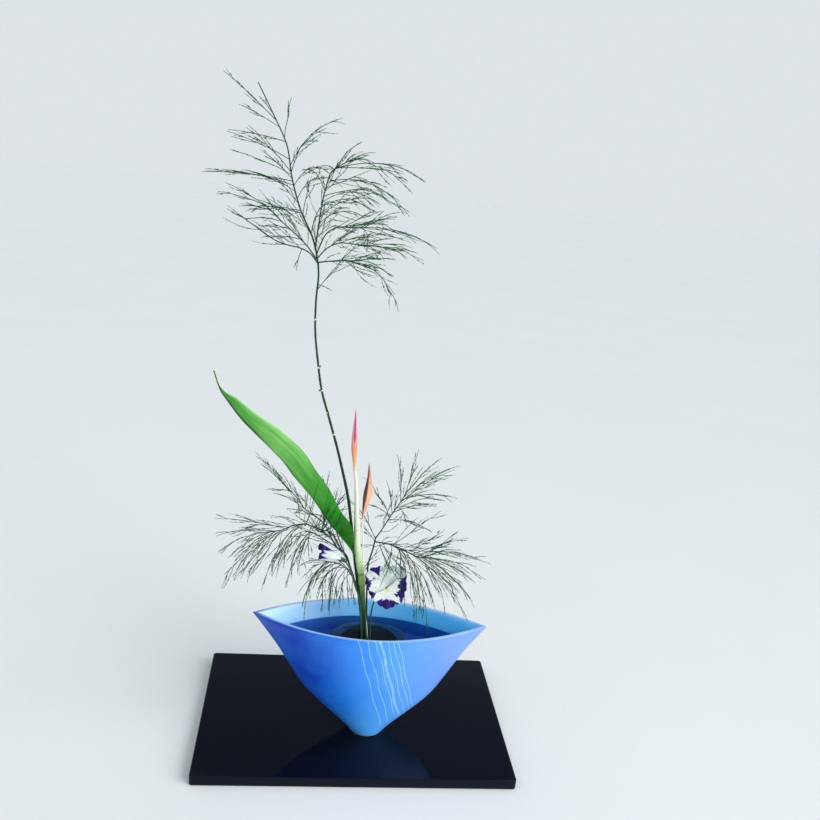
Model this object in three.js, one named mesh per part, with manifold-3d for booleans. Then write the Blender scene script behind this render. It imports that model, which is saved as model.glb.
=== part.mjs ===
// An ikebana arrangement in a boat-shaped blue ceramic bowl on a black lacquered board.
// Millimetres, +Z up. The origin is the centre of the board's underside, +X is to the
// right and +Y is away from the side that the arrangement is seen from. Everything that
// stands on the board is modelled with its heights above the board's top.
import * as THREE from 'three';
import { mergeVertices } from 'three/addons/utils/BufferGeometryUtils.js';
import Module from 'manifold-3d';

const wasm = await Module();
wasm.setup();

// Plain vectors
const add = (a, b) => [a[0] + b[0], a[1] + b[1], a[2] + b[2]];
const sub = (a, b) => [a[0] - b[0], a[1] - b[1], a[2] - b[2]];
const times = (a, s) => a.map((value) => value * s);
const dot = (a, b) => a[0] * b[0] + a[1] * b[1] + a[2] * b[2];
const cross = (a, b) => [
  a[1] * b[2] - a[2] * b[1], a[2] * b[0] - a[0] * b[2], a[0] * b[1] - a[1] * b[0],
];
const size = (a) => Math.hypot(a[0], a[1], a[2]);
const unit = (a) => times(a, 1 / size(a));
const mix = (a, b, t) => a + (b - a) * t;
const mixPoints = (a, b, t) => a.map((value, i) => mix(value, b[i], t));
const radians = (degrees) => degrees * Math.PI / 180;
const UP = [0, 0, 1];

// Driving dimensions
const GAP = 0.3;
const BOARD = { width: 450, depth: 300, thickness: 15, cornerRadius: 3, edgeRound: 1.5 };
const BOWL = {
  x: 11, y: -38, turn: -3, height: 181, rimWidth: 5.5, tipWall: 9.5,
  floor: 121, floorFillet: 3, footRadius: 25, footRecess: 4, footRing: 5,
  footShift: [7, 3], lip: 0.8,
};
const WATER = { top: 155, wallGap: 0.35 };
const DISH = { halfLength: 55, halfDepth: 45, height: 24, wall: 1.6, base: 2 };
const KENZAN = {
  radius: 42, baseHeight: 5, edge: 0.8, pinLength: 16.5, pinRadius: 0.9, pinPitch: 8.6,
  pinRings: 4, sunk: 1.5, pointLength: 4,
};
const kenzanBottom = BOWL.floor + GAP + DISH.base + GAP;
const kenzanTop = kenzanBottom + KENZAN.baseHeight;
const stemFoot = kenzanTop + 2 * GAP;

// Stations up the bowl's outside: its half length and half depth at a height above the foot
const BOWL_STATIONS = [
  { height: 0, halfLength: 25, halfDepth: 25 },
  { height: 7, halfLength: 30, halfDepth: 28 },
  { height: 20, halfLength: 44, halfDepth: 31.5 },
  { height: 42, halfLength: 69.5, halfDepth: 37 },
  { height: 66, halfLength: 93.5, halfDepth: 43 },
  { height: 98, halfLength: 114, halfDepth: 50 },
  { height: 129, halfLength: 132, halfDepth: 54.5 },
  { height: 155, halfLength: 149.5, halfDepth: 58 },
  { height: 181, halfLength: 168, halfDepth: 60.5 },
];

// Pansies: the middle of each bloom, the way it faces, how far its petals fold forward, how
// far apart they lie, and how far its green throat reaches in front. One bloom is open and
// the other is a half-open cup, seen from its side.
const LARGE_PANSY = {
  centre: [25, -71, 252], faces: [-0.05, -0.9, 0.43], scale: 1.08, fold: 4, layering: 1,
  throat: 5,
};
const SMALL_PANSY = {
  centre: [-42, -61, 285], faces: [-0.95, -0.08, 0.31], scale: 1, fold: 64, layering: 0.45,
  throat: 7,
};
const PETAL_GRID = { columns: 5, rows: 2, thickness: 0.7 };
const THROAT = { back: 6, frontRadius: 4.6, backRadius: 3.2, stemGap: 1 };

function stemEnd(bloom) {
  const behind = THROAT.back * bloom.scale + THROAT.stemGap;
  return add(bloom.centre, times(unit(bloom.faces), -behind));
}

// Routes of the stems, from the pin holder up, as [x, y, height above the board's top]
const TALL_STEM = [
  [6, -30, stemFoot], [-1, -32, 175], [-12, -32, 235], [-24, -32, 300], [-35, -32, 363],
  [-59, -32, 447], [-81, -32, 513], [-92, -32, 574], [-96, -32, 608], [-96, -32, 647],
  [-96, -32, 685], [-104, -32, 707], [-115, -32, 725], [-124, -32, 748], [-132, -32, 772],
  [-140, -32, 796], [-145, -32, 825], [-158, -32, 848], [-175, -32, 872], [-181, -32, 887],
];
const RIGHT_STEM = [
  [9, -22, stemFoot], [2, -22, 202], [-2, -22, 258], [3, -22, 271], [7, -22, 289], [9, -22, 302],
];
const LEFT_STEM = [
  [7, -12, stemFoot], [-3, -12, 180], [-10, -13, 213], [-20, -13, 241], [-32, -14, 271],
  [-47, -14, 281],
];
const HELICONIA_STEM = [
  [8, -44, stemFoot], [5, -44, 160], [-3, -44, 214], [-7, -44, 245], [-12, -44, 268],
  [-18, -44, 299], [-21, -44, 330], [-26, -44, 386], [-30, -44, 408],
];
const BRACT_STEM = [
  [10, -36, stemFoot], [7, -36, 159], [-1, -36, 210], [-8, -37, 273], [-10, -37, 303],
  [-13, -37, 334],
];
const LARGE_PANSY_STEM = [
  [13, -54, stemFoot], [10, -55, 167], [9, -57, 205], [14, -58.5, 230], [20, -61, 242],
  stemEnd(LARGE_PANSY),
];
const SMALL_PANSY_STEM = [
  [2, -57, stemFoot], [-8, -58, 215], [-16, -59, 240], [-22, -60, 258], [-28, -60.5, 273],
  stemEnd(SMALL_PANSY),
];

// Limbs and branchlets of the three asparagus plants. A limb leaves its stem at its first
// point. A branchlet is [how far along its limb, reach, depth, rise], in mm from there to
// its tip: reach to the right, depth away from the front, rise upwards.
const ASPARAGUS_TALL = {
  stem: TALL_STEM, trimmedNodes: [0.42, 0.46, 0.5, 0.54, 0.62],
  stemRadii: [[0, 2.6], [0.25, 2.1], [0.45, 1.6], [0.7, 1.2], [1, 0.6]],
  limbs: [
    {
      arch: 0.03,
      branchlets: [
        [0.94, -65, 10, 50], [0.93, -45, -35, 20], [0.95, -20, 30, 20], [0.91, 5, 25, 50],
        [0.91, -65, -20, 5], [0.88, -80, 45, 25], [0.86, -55, 20, 50], [0.86, -65, -50, 20],
        [0.85, -45, 70, 30], [0.84, -90, 30, 10], [0.85, -105, -25, 0], [0.83, -60, 80, 15],
        [0.8, -50, 90, -10], [0.8, -70, -70, 5], [0.77, -50, -95, 40], [0.8, 10, 60, 40],
        [0.76, -35, 75, 40], [0.67, 55, 40, 65], [0.68, 20, -15, -5],
        [0.81, -35, -30, 35],
      ],
    },
    {
      arch: 0.2,
      branchlets: [
        [0.87, 65, 40, 55], [0.86, 25, -40, 40], [0.84, 55, -60, 20], [0.82, 50, 75, 15],
        [0.76, 35, 95, 30],
      ],
    },
    {
      route: [[-99, -32, 695], [-99, -37, 728], [-96, -42, 757], [-91, -46, 783],
        [-84, -49, 798], [-70, -52, 802]],
      arch: 0.16, radii: [1, 0.7],
      branchlets: [
        [0.76, 35, -20, 45], [0.85, 50, 25, 25], [0.98, 20, -30, 10], [0.99, 95, -15, -10],
        [0.93, 95, 45, -25], [0.73, 105, 20, -35], [0.57, 100, -35, -10], [0.51, 75, 65, -5],
        [0.28, 55, -60, 15], [0.21, 40, 60, 25], [0.62, -30, 55, 20], [0.46, 65, 45, -5],
        [0.35, 70, -60, 25], [0.65, 75, 50, 0], [0.83, 50, -40, 15], [0.13, 40, -55, 15],
      ],
    },
    {
      route: [[-97, -32, 684], [-112, -38, 701], [-126, -44, 714], [-146, -52, 731],
        [-161, -59, 746], [-168, -62, 750]],
      arch: 0.06, radii: [0.9, 0.65],
      branchlets: [
        [0.91, -50, -10, 25], [0.94, -60, 25, 10], [0.85, -35, -35, 5], [0.9, -30, 40, -10],
        [0.66, -45, 45, -5], [0.52, -35, -45, 5], [0.25, -40, 60, 40], [0.33, -50, 30, -5],
      ],
    },
    {
      route: [[-96, -32, 680], [-104, -29, 688], [-117, -25, 695], [-140, -17, 698],
        [-156, -12, 703], [-176, -5, 714]],
      arch: 0.06, radii: [0.9, 0.6],
      branchlets: [
        [0.98, -40, -5, 22], [0.29, -5, -20, -25], [0.32, -35, 50, 20], [0.54, -40, -40, 30],
      ],
    },
    {
      route: [[-98, -32, 690], [-90, -43, 717], [-73, -54, 729], [-55, -64, 730],
        [-43, -70, 732]],
      arch: 0.18, radii: [0.9, 0.65],
      branchlets: [
        [0.92, 40, -20, 15], [0.98, 45, 30, 20], [0.87, 100, -30, -20], [0.75, 60, 60, -5],
        [0.95, 5, -40, -25], [0.67, 50, 45, 20],
      ],
    },
    {
      route: [[-97, -32, 684], [-83, -21, 701], [-64, -10, 705], [-37, 5, 701]],
      arch: 0.14, radii: [0.9, 0.65],
      branchlets: [
        [0.93, 80, -20, -10], [0.99, 65, 30, 0], [0.86, 60, -50, -5], [0.94, 35, 55, -25],
        [0.49, 60, 35, 5], [0.65, 55, -35, 20], [0.29, 55, 60, 30],
      ],
    },
    {
      route: [[-96, -32, 680], [-65, -44, 687], [-42, -53, 684], [-25, -60, 680]],
      arch: 0.14, radii: [0.9, 0.65],
      branchlets: [
        [0.75, 35, -40, -5], [0.96, 35, -5, -50], [0.38, 55, 40, 0], [0.29, 75, 65, -20],
        [0.55, 55, -25, 10],
      ],
    },
  ],
};
const ASPARAGUS_RIGHT = {
  stem: RIGHT_STEM,
  stemRadii: [[0, 1.5], [1, 1]],
  limbs: [
    {
      arch: 0.1,
      branchlets: [
        [0.98, -40, 20, 50], [0.91, 45, 25, -10], [0.96, -30, -10, 30], [0.92, -25, -10, 0],
      ],
    },
    {
      route: [[9, -22, 299], [20, -28, 324], [26, -33, 341], [35, -38, 359], [45, -45, 385]],
      arch: 0.1, radii: [0.95, 0.65],
      branchlets: [
        [0.76, -10, 10, 65], [0.88, 10, -20, 75], [0.95, 50, 35, 40], [0.86, 70, -15, 55],
        [0.74, 75, 20, 45], [0.8, 70, -35, 20], [0.62, 70, 40, 0], [0.54, 55, -30, 25],
        [0.41, 65, 15, -25], [0.67, 10, -45, -10], [0.48, -45, -15, 60], [0.5, -20, 30, -20],
        [0.51, -10, 25, 40], [0.5, -35, 20, 5],
      ],
    },
    {
      route: [[8, -22, 294], [26, -35, 298], [37, -45, 299], [48, -54, 298], [61, -65, 296],
        [73, -75, 299]],
      arch: 0.16, radii: [0.95, 0.65],
      branchlets: [
        [0.46, 60, 30, 45], [0.98, 40, -10, 45], [0.9, 70, 25, 20], [0.98, 40, -35, 30],
        [0.83, 110, 15, -15], [0.98, 85, -20, -20], [0.9, 90, 35, -55], [0.74, 75, 55, -70],
        [0.98, 75, -15, -65], [0.87, 80, 25, -105], [0.75, 10, -35, -90], [0.87, 15, -45, -85],
        [0.67, 30, 10, -100], [0.6, 55, 50, -110], [0.9, 25, -30, 55], [0.98, 40, 15, 15],
        [0.81, 40, 45, 10], [0.71, 0, 40, -100], [0.98, 40, 25, -85], [0.98, 45, -40, -30],
      ],
    },
  ],
};
const ASPARAGUS_LEFT = {
  stem: LEFT_STEM,
  stemRadii: [[0, 1.5], [1, 1]],
  limbs: [
    {
      arch: 0.1,
      branchlets: [[0.68, -45, 30, 20], [0.59, 40, 35, 40], [0.81, -50, 25, 40]],
    },
    {
      route: [[-36, -14, 273], [-56, -25, 308], [-76, -34, 315], [-94, -42, 327],
        [-111, -50, 324], [-127, -57, 320], [-143, -64, 321]],
      arch: 0.14, radii: [0.95, 0.65],
      branchlets: [
        [0.8, -95, 10, 5], [0.91, -75, -25, 0], [0.98, -65, 20, -45], [0.94, -55, -15, -35],
        [0.96, -60, -5, -85], [0.9, -55, 35, -95], [0.83, -50, -40, -55], [0.75, -55, 15, -95],
        [0.67, -40, -30, -75], [0.61, -40, 30, -95], [0.52, 0, -35, -35], [0.77, -65, 45, -25],
        [0.8, -45, 25, -55], [0.88, -50, -45, 0], [0.64, -20, 40, -85],
      ],
    },
    {
      route: [[-32, -14, 271], [-47, -6, 278], [-61, 0, 283], [-76, 6, 290], [-90, 12, 290]],
      arch: 0.12, radii: [0.95, 0.65],
      branchlets: [
        [0.94, -25, -20, -80], [0.98, -45, 20, -85], [0.99, -25, 45, -50], [0.82, -15, 50, -95],
        [0.93, -20, 10, -55],
      ],
    },
    {
      route: [[-45, -14, 281], [-67, -3, 314], [-82, 3, 320], [-95, 8, 329], [-105, 14, 341],
        [-118, 20, 350]],
      arch: 0.06, radii: [0.95, 0.6],
      branchlets: [
        [0.98, -50, 0, 55], [0.96, -35, 25, -10], [0.83, 5, -20, -20], [0.65, 10, 30, 50],
        [0.35, 5, 40, 65], [0.49, -40, 45, -10], [0.73, -40, -25, 25], [0.6, -30, 30, 5],
        [0.83, -55, 25, 40],
      ],
    },
    {
      route: [[-9, -13, 209], [-18, -19, 235], [-30, -25, 253], [-42, -30, 263],
        [-60, -36, 267]],
      arch: 0.2, radii: [0.95, 0.65],
      branchlets: [
        [0.95, -25, -10, -45], [0.99, -25, -20, -80], [0.84, -10, 15, -85], [0.72, -10, -10, -75],
        [0.63, -15, 20, -80], [0.51, 5, -10, -50], [0.88, -35, 35, -45], [0.81, -30, -15, -35],
        [0.91, -40, 25, -20], [0.81, -25, -15, -15], [0.72, -30, 10, -60], [0.57, -15, -10, -55],
        [0.43, -10, 25, -70], [0.95, -20, -20, -25], [0.63, -30, 30, -50], [0.34, 5, -10, -40],
      ],
    },
    {
      route: [[-23, -13, 251], [-36, -7, 275], [-48, 0, 303], [-54, 5, 322], [-52, 8, 336]],
      arch: 0.05, radii: [0.9, 0.65],
      branchlets: [
        [0.94, 20, -5, 20], [0.98, -10, 5, 25], [0.99, 5, 15, 20], [0.91, 20, 5, 30],
        [0.83, -25, 20, 35], [0.8, 25, 10, 15], [0.69, -40, 15, 10], [0.52, -35, 10, -10],
      ],
    },
  ],
};
const SPRIG = {
  rootRadius: 0.38, branchletRadius: 0.6, longBranchlet: 90, rootSpacing: 2.8,
  forkRadius: 0.3, forkSpacing: 26, forkStretch: [0.22, 0.84], forkLength: [0.25, 0.45],
  forkTurn: 32, forkDroop: 0.06, keepEveryFork: 2,
  needleLength: 8, needleRadius: 0.25, needleSpacing: 65, needleAngle: 32, lastNeedle: 0.8,
  clearance: 1.2,
};
const STUB = { length: 4.6, radius: 1, turn: 2.4 };

// The heliconia's leaf: its fold line, how wide each half is, and how each half leans
const LEAF_FOLD = [
  [-21, -47.2, 281], [-27, -49, 295], [-52, -50, 326], [-74, -50, 357], [-92, -51, 378],
  [-106, -51, 394], [-122, -52, 416], [-147, -53, 440], [-176, -54, 468], [-198, -55, 495],
  [-210, -56, 512], [-219, -57, 537],
];
const LEAF = {
  thickness: 0.8, outerWidth: 30, foldedWidth: 22, foldedTurn: 84, outerTurn: 12,
  stations: 18, wave: 1.6,
};

// The two bracts: each one's middle line, and its half width at shares of its length
const TALL_BRACT = {
  route: [[-30, -44, 408.5], [-32, -44, 425], [-34, -44, 440], [-34.5, -44, 465], [-34, -44, 496]],
  widths: [[0, 1.8], [0.1, 2.3], [0.25, 3.2], [0.42, 3.8], [0.58, 3.5], [0.75, 2.4], [0.9, 1.1]],
};
const SHORT_BRACT = {
  route: [[-13, -37, 334.5], [-12, -37.5, 350], [-9, -38, 372], [-8.5, -38, 392], [-11, -38, 418]],
  widths: [[0, 1.1], [0.12, 1.8], [0.3, 4.4], [0.45, 6], [0.58, 5.2], [0.75, 2.8], [0.92, 1]],
};

const COLOURS = {
  lacquer: 0x0b0d12, ceramic: 0x2f6fdc, water: 0x1b4f9e, clear: 0xcfe0ee, lead: 0x26251f,
  fern: 0x23553a, stalk: 0xb9d67a, leaf: 0x4fae3a, bract: 0xe8643c, paleStalk: 0xd9e2b8,
  petal: 0xf1effa, pansyStalk: 0x4d7f3c,
};

// The same sequence of numbers between 0 and 1 on every run, for one seed
function seeded(seed) {
  let state = seed >>> 0;
  return () => {
    state = (Math.imul(state, 1664525) + 1013904223) >>> 0;
    return state / 4294967296;
  };
}

// A smooth line through hand-set points, with a few steps between each two
function smoothRoute(points, steps) {
  const route = [];
  const last = points.length - 1;
  for (let i = 0; i < last; i += 1) {
    const before = points[Math.max(i - 1, 0)];
    const after = points[Math.min(i + 2, last)];
    for (let step = 0; step < steps; step += 1) {
      const t = step / steps;
      route.push(points[i].map((value, k) => {
        const next = points[i + 1][k];
        const a = 2 * value;
        const b = next - before[k];
        const c = 2 * before[k] - 5 * value + 4 * next - after[k];
        const d = 3 * value - before[k] - 3 * next + after[k];
        return (a + b * t + c * t * t + d * t * t * t) / 2;
      }));
    }
  }
  route.push(points[last]);
  return route;
}

const lengthOf = (line) => line.slice(1).reduce((sum, point, i) => (
  sum + size(sub(point, line[i]))), 0);

// The point a given share of the way along a line, and the direction there
function along(route, share) {
  const lengths = [0];
  for (let i = 1; i < route.length; i += 1) {
    lengths.push(lengths[i - 1] + size(sub(route[i], route[i - 1])));
  }
  const target = share * lengths[lengths.length - 1];
  let i = 1;
  while (i < route.length - 1 && lengths[i] < target) i += 1;
  const t = (target - lengths[i - 1]) / (lengths[i] - lengths[i - 1]);
  return {
    point: mixPoints(route[i - 1], route[i], t),
    heading: unit(sub(route[i], route[i - 1])),
  };
}

// Closed solids from rings of points
function solidFrom(points, triangles) {
  const geometry = new THREE.BufferGeometry();
  geometry.setAttribute('position', new THREE.Float32BufferAttribute(points.flat(), 3));
  geometry.setIndex(triangles.flat());
  return geometry;
}

// A skin over rings with the same number of points, counter-clockwise seen from the last
// ring's side. Each end is closed with a fan round its middle, or with one point.
function loft(rings, startPoint = null, endPoint = null) {
  const count = rings[0].length;
  const points = rings.flat();
  const triangles = [];
  for (let r = 0; r < rings.length - 1; r += 1) {
    for (let i = 0; i < count; i += 1) {
      const a = r * count + i;
      const b = r * count + (i + 1) % count;
      triangles.push([a, b, b + count], [a, b + count, a + count]);
    }
  }
  const middle = (ring) => times(ring.reduce(add), 1 / count);
  const start = points.push(startPoint ?? middle(rings[0])) - 1;
  const end = points.push(endPoint ?? middle(rings[rings.length - 1])) - 1;
  const lastRing = (rings.length - 1) * count;
  for (let i = 0; i < count; i += 1) {
    const next = (i + 1) % count;
    triangles.push([start, next, i], [end, lastRing + i, lastRing + next]);
  }
  return solidFrom(points, triangles);
}

// Rings square to a line, with a radius and a flatness at each share of its length
function ringsAlong(route, shares, radiusAt, sides, flatness = 1) {
  const across = [1, 0, 0];
  return shares.map((share) => {
    const { point, heading } = along(route, share);
    const side = unit(sub(across, times(heading, dot(across, heading))));
    const front = cross(heading, side);
    const radius = radiusAt(share);
    return Array.from({ length: sides }, (_, i) => {
      const angle = 2 * Math.PI * i / sides;
      return add(point, add(times(side, radius * Math.cos(angle)),
        times(front, radius * flatness * Math.sin(angle))));
    });
  });
}

// The value at a share of the way through rows of [share, value]
function between(rows, share) {
  const above = Math.max(1, rows.findIndex((row) => row[0] >= share));
  const [low, high] = [rows[above - 1], rows[above]];
  return mix(low[1], high[1], (share - low[0]) / (high[0] - low[0]));
}

const evenShares = (count) => Array.from({ length: count + 1 }, (_, i) => i / count);
const resample = (route, steps) => evenShares(steps).map((share) => along(route, share).point);

// A ring round each point of a line
function ringsAt(line, radiusAt, sides) {
  const last = line.length - 1;
  const whole = unit(sub(line[last], line[0]));
  const across = Math.abs(whole[0]) > 0.8 ? UP : [1, 0, 0];
  return line.map((point, i) => {
    const heading = unit(sub(line[Math.min(i + 1, last)], line[Math.max(i - 1, 0)]));
    const side = unit(sub(across, times(heading, dot(across, heading))));
    const front = cross(heading, side);
    const radius = radiusAt(i / last);
    return Array.from({ length: sides }, (_, k) => {
      const angle = 2 * Math.PI * k / sides;
      return add(point, add(times(side, radius * Math.cos(angle)),
        times(front, radius * Math.sin(angle))));
    });
  });
}

function taperedTube(line, startRadius, endRadius, sides) {
  return loft(ringsAt(line, (share) => mix(startRadius, endRadius, share), sides));
}

// A thin three-sided shoot that ends in a point. Its root is slimmer than its middle.
function pointedShoot(line, rootRadius, middleRadius) {
  const rings = ringsAt(line, (share) => (share > 0 ? middleRadius : rootRadius), 3);
  return loft(rings.slice(0, -1), null, line[line.length - 1]);
}

function nearestOn(line, point) {
  const distance = (other) => size(sub(other, point));
  return resample(line, 200).reduce((a, b) => (distance(b) < distance(a) ? b : a));
}

// A thin sheet of even thickness over a grid of points, its two faces split alike
function sheet(grid, thickness) {
  const rows = grid.length;
  const columns = grid[0].length;
  const top = [];
  const bottom = [];
  for (let i = 0; i < rows; i += 1) {
    for (let j = 0; j < columns; j += 1) {
      const lengthwise = sub(grid[Math.min(i + 1, rows - 1)][j], grid[Math.max(i - 1, 0)][j]);
      const crosswise = sub(grid[i][Math.min(j + 1, columns - 1)], grid[i][Math.max(j - 1, 0)]);
      const normal = unit(cross(lengthwise, crosswise));
      top.push(add(grid[i][j], times(normal, thickness / 2)));
      bottom.push(add(grid[i][j], times(normal, -thickness / 2)));
    }
  }
  const points = [...top, ...bottom];
  const under = top.length;
  const triangles = [];
  const at = (i, j) => i * columns + j;
  for (let i = 0; i < rows - 1; i += 1) {
    for (let j = 0; j < columns - 1; j += 1) {
      const [a, b, c, d] = [at(i, j), at(i + 1, j), at(i + 1, j + 1), at(i, j + 1)];
      triangles.push([a, b, c], [a, c, d]);
      triangles.push([a + under, c + under, b + under], [a + under, d + under, c + under]);
    }
  }
  const edge = [];
  for (let i = 0; i < rows - 1; i += 1) edge.push(at(i, 0));
  for (let j = 0; j < columns - 1; j += 1) edge.push(at(rows - 1, j));
  for (let i = rows - 1; i > 0; i -= 1) edge.push(at(i, columns - 1));
  for (let j = columns - 1; j > 0; j -= 1) edge.push(at(0, j));
  edge.forEach((a, k) => {
    const b = edge[(k + 1) % edge.length];
    triangles.push([a, b + under, b], [a, a + under, b + under]);
  });
  return solidFrom(points, triangles);
}

// Joining and cutting
function solid(geometry) {
  const bare = geometry.clone();
  bare.deleteAttribute('normal');
  bare.deleteAttribute('uv');
  const merged = mergeVertices(bare, 1e-4);
  return new wasm.Manifold(new wasm.Mesh({
    numProp: 3,
    vertProperties: merged.attributes.position.array,
    triVerts: Uint32Array.from(merged.index.array),
  }));
}

function fuse(geometries) {
  let solids = geometries.map(solid);
  while (solids.length > 1) {
    const joined = [];
    for (let i = 0; i < solids.length; i += 2) {
      joined.push(i + 1 < solids.length ? solids[i].add(solids[i + 1]) : solids[i]);
    }
    solids = joined;
  }
  return solids[0];
}

// The biggest connected body of a solid, as a geometry. Loose scraps are dropped.
function geometryOf(manifold) {
  const mesh = manifold.getMesh();
  const group = Array.from({ length: mesh.numVert }, (_, i) => i);
  const root = (i) => {
    let at = i;
    while (group[at] !== at) at = group[at];
    return at;
  };
  for (let t = 0; t < mesh.triVerts.length; t += 3) {
    const first = root(mesh.triVerts[t]);
    group[root(mesh.triVerts[t + 1])] = first;
    group[root(mesh.triVerts[t + 2])] = root(first);
  }
  const counts = new Map();
  for (let t = 0; t < mesh.triVerts.length; t += 3) {
    const body = root(mesh.triVerts[t]);
    counts.set(body, (counts.get(body) ?? 0) + 1);
  }
  const biggest = [...counts].sort((a, b) => b[1] - a[1])[0][0];
  const index = [];
  for (let t = 0; t < mesh.triVerts.length; t += 3) {
    if (root(mesh.triVerts[t]) === biggest) index.push(...mesh.triVerts.slice(t, t + 3));
  }
  const geometry = new THREE.BufferGeometry();
  const positions = [];
  for (let i = 0; i < mesh.numVert; i += 1) {
    positions.push(...mesh.vertProperties.slice(i * mesh.numProp, i * mesh.numProp + 3));
  }
  geometry.setAttribute('position', new THREE.Float32BufferAttribute(positions, 3));
  geometry.setIndex(index);
  return geometry.toNonIndexed();
}

function part(name, geometry, color, roughness, metalness = 0) {
  geometry.computeVertexNormals();
  const material = new THREE.MeshStandardMaterial({ color, roughness, metalness });
  const mesh = new THREE.Mesh(geometry, material);
  mesh.name = name;
  return mesh;
}

// The board: a rectangle with small round corners and softened edges
function boardGeometry() {
  const inset = BOARD.edgeRound;
  const x = BOARD.width / 2 - inset;
  const y = BOARD.depth / 2 - inset;
  const r = BOARD.cornerRadius;
  const outline = new THREE.Shape();
  outline.moveTo(-x + r, -y);
  outline.lineTo(x - r, -y);
  outline.absarc(x - r, -y + r, r, -Math.PI / 2, 0);
  outline.lineTo(x, y - r);
  outline.absarc(x - r, y - r, r, 0, Math.PI / 2);
  outline.lineTo(-x + r, y);
  outline.absarc(-x + r, y - r, r, Math.PI / 2, Math.PI);
  outline.lineTo(-x, -y + r);
  outline.absarc(-x + r, -y + r, r, Math.PI, 1.5 * Math.PI);
  const geometry = new THREE.ExtrudeGeometry(outline, {
    depth: BOARD.thickness - 2 * inset, curveSegments: 3,
    bevelThickness: inset, bevelSize: inset, bevelSegments: 1,
  });
  return geometry.translate(0, 0, inset);
}

// The bowl's outline at one height: round at the foot, two arcs with pointed ends at the rim
function boatRing(halfLength, halfDepth, height, count = 32) {
  const share = height / BOWL.height;
  const pointed = 0.5 + 0.5 * share ** 0.8;
  const shift = times(BOWL.footShift, 1 - share);
  return Array.from({ length: count }, (_, i) => {
    const angle = 2 * Math.PI * i / count;
    const bulge = Math.abs(Math.sin(angle)) ** (2 * pointed);
    const y = Math.sign(Math.sin(angle)) * halfDepth * bulge;
    return [shift[0] + halfLength * Math.cos(angle), shift[1] + y, height];
  });
}

function bowlSize(height) {
  const rows = BOWL_STATIONS.map((row) => [row.height, row.halfLength, row.halfDepth]);
  const line = smoothRoute(rows, 8);
  const above = Math.max(1, line.findIndex((row) => row[0] >= height));
  const [low, high] = [line[above - 1], line[above]];
  const t = (height - low[0]) / (high[0] - low[0]);
  return { halfLength: mix(low[1], high[1], t), halfDepth: mix(low[2], high[2], t) };
}

// Inside outline: the wall is thicker towards the pointed ends
function basinRing(height, inset) {
  const outer = bowlSize(height);
  const halfLength = outer.halfLength - (BOWL.tipWall + inset * BOWL.tipWall / BOWL.rimWidth);
  return boatRing(halfLength, outer.halfDepth - BOWL.rimWidth - inset, height);
}

function bowlGeometry() {
  const recess = BOWL.footRadius - BOWL.footRing;
  const lip = BOWL.lip;
  const outerHeights = [7, 15, 26, 38, 52, 68, 86, 106, 128, 154];
  const basinHeights = [162, 142];
  const rings = [
    boatRing(recess - 1.5, recess - 1.5, BOWL.footRecess),
    boatRing(recess, recess, 0),
    boatRing(BOWL.footRadius - 1, BOWL.footRadius - 1, 0),
    boatRing(BOWL.footRadius, BOWL.footRadius, 1),
  ];
  for (const height of outerHeights) {
    const { halfLength, halfDepth } = bowlSize(height);
    rings.push(boatRing(halfLength, halfDepth, height));
  }
  const rim = bowlSize(BOWL.height - lip);
  rings.push(boatRing(rim.halfLength, rim.halfDepth, BOWL.height - lip));
  rings.push(boatRing(rim.halfLength - 1.2 * lip, rim.halfDepth - lip, BOWL.height));
  rings.push(boatRing(rim.halfLength - BOWL.tipWall + lip, rim.halfDepth - BOWL.rimWidth + lip,
    BOWL.height));
  for (const height of [BOWL.height - lip, ...basinHeights, BOWL.floor + BOWL.floorFillet]) {
    rings.push(basinRing(height, 0));
  }
  rings.push(basinRing(BOWL.floor, BOWL.floorFillet));
  return loft(rings);
}

// A flat-sided oval: half circles on a short straight middle
function oval(halfLength, halfDepth, height, count = 24) {
  const straight = halfLength - halfDepth;
  return Array.from({ length: count }, (_, i) => {
    const angle = 2 * Math.PI * (i + 0.5) / count;
    const shift = Math.cos(angle) > 0 ? straight : -straight;
    return [shift + halfDepth * Math.cos(angle), halfDepth * Math.sin(angle), height];
  });
}

function dishGeometry() {
  const bottom = BOWL.floor + GAP;
  const top = bottom + DISH.height;
  const inside = (height, inset = 0) => oval(DISH.halfLength - DISH.wall - inset,
    DISH.halfDepth - DISH.wall - inset, height);
  const rings = [
    oval(DISH.halfLength - 2, DISH.halfDepth - 2, bottom),
    oval(DISH.halfLength, DISH.halfDepth, bottom + 2),
    oval(DISH.halfLength, DISH.halfDepth, top),
    inside(top),
    inside(bottom + DISH.base + 0.5),
    inside(bottom + DISH.base, 0.5),
  ];
  return loft(rings);
}

const STEMS = [
  { route: TALL_STEM, radius: 2.7 },
  { route: RIGHT_STEM, radius: 1.5 },
  { route: LEFT_STEM, radius: 1.5 },
  { route: HELICONIA_STEM, radius: 3 },
  { route: BRACT_STEM, radius: 1.1 },
  { route: LARGE_PANSY_STEM, radius: 1.3 },
  { route: SMALL_PANSY_STEM, radius: 1.3 },
];

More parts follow.
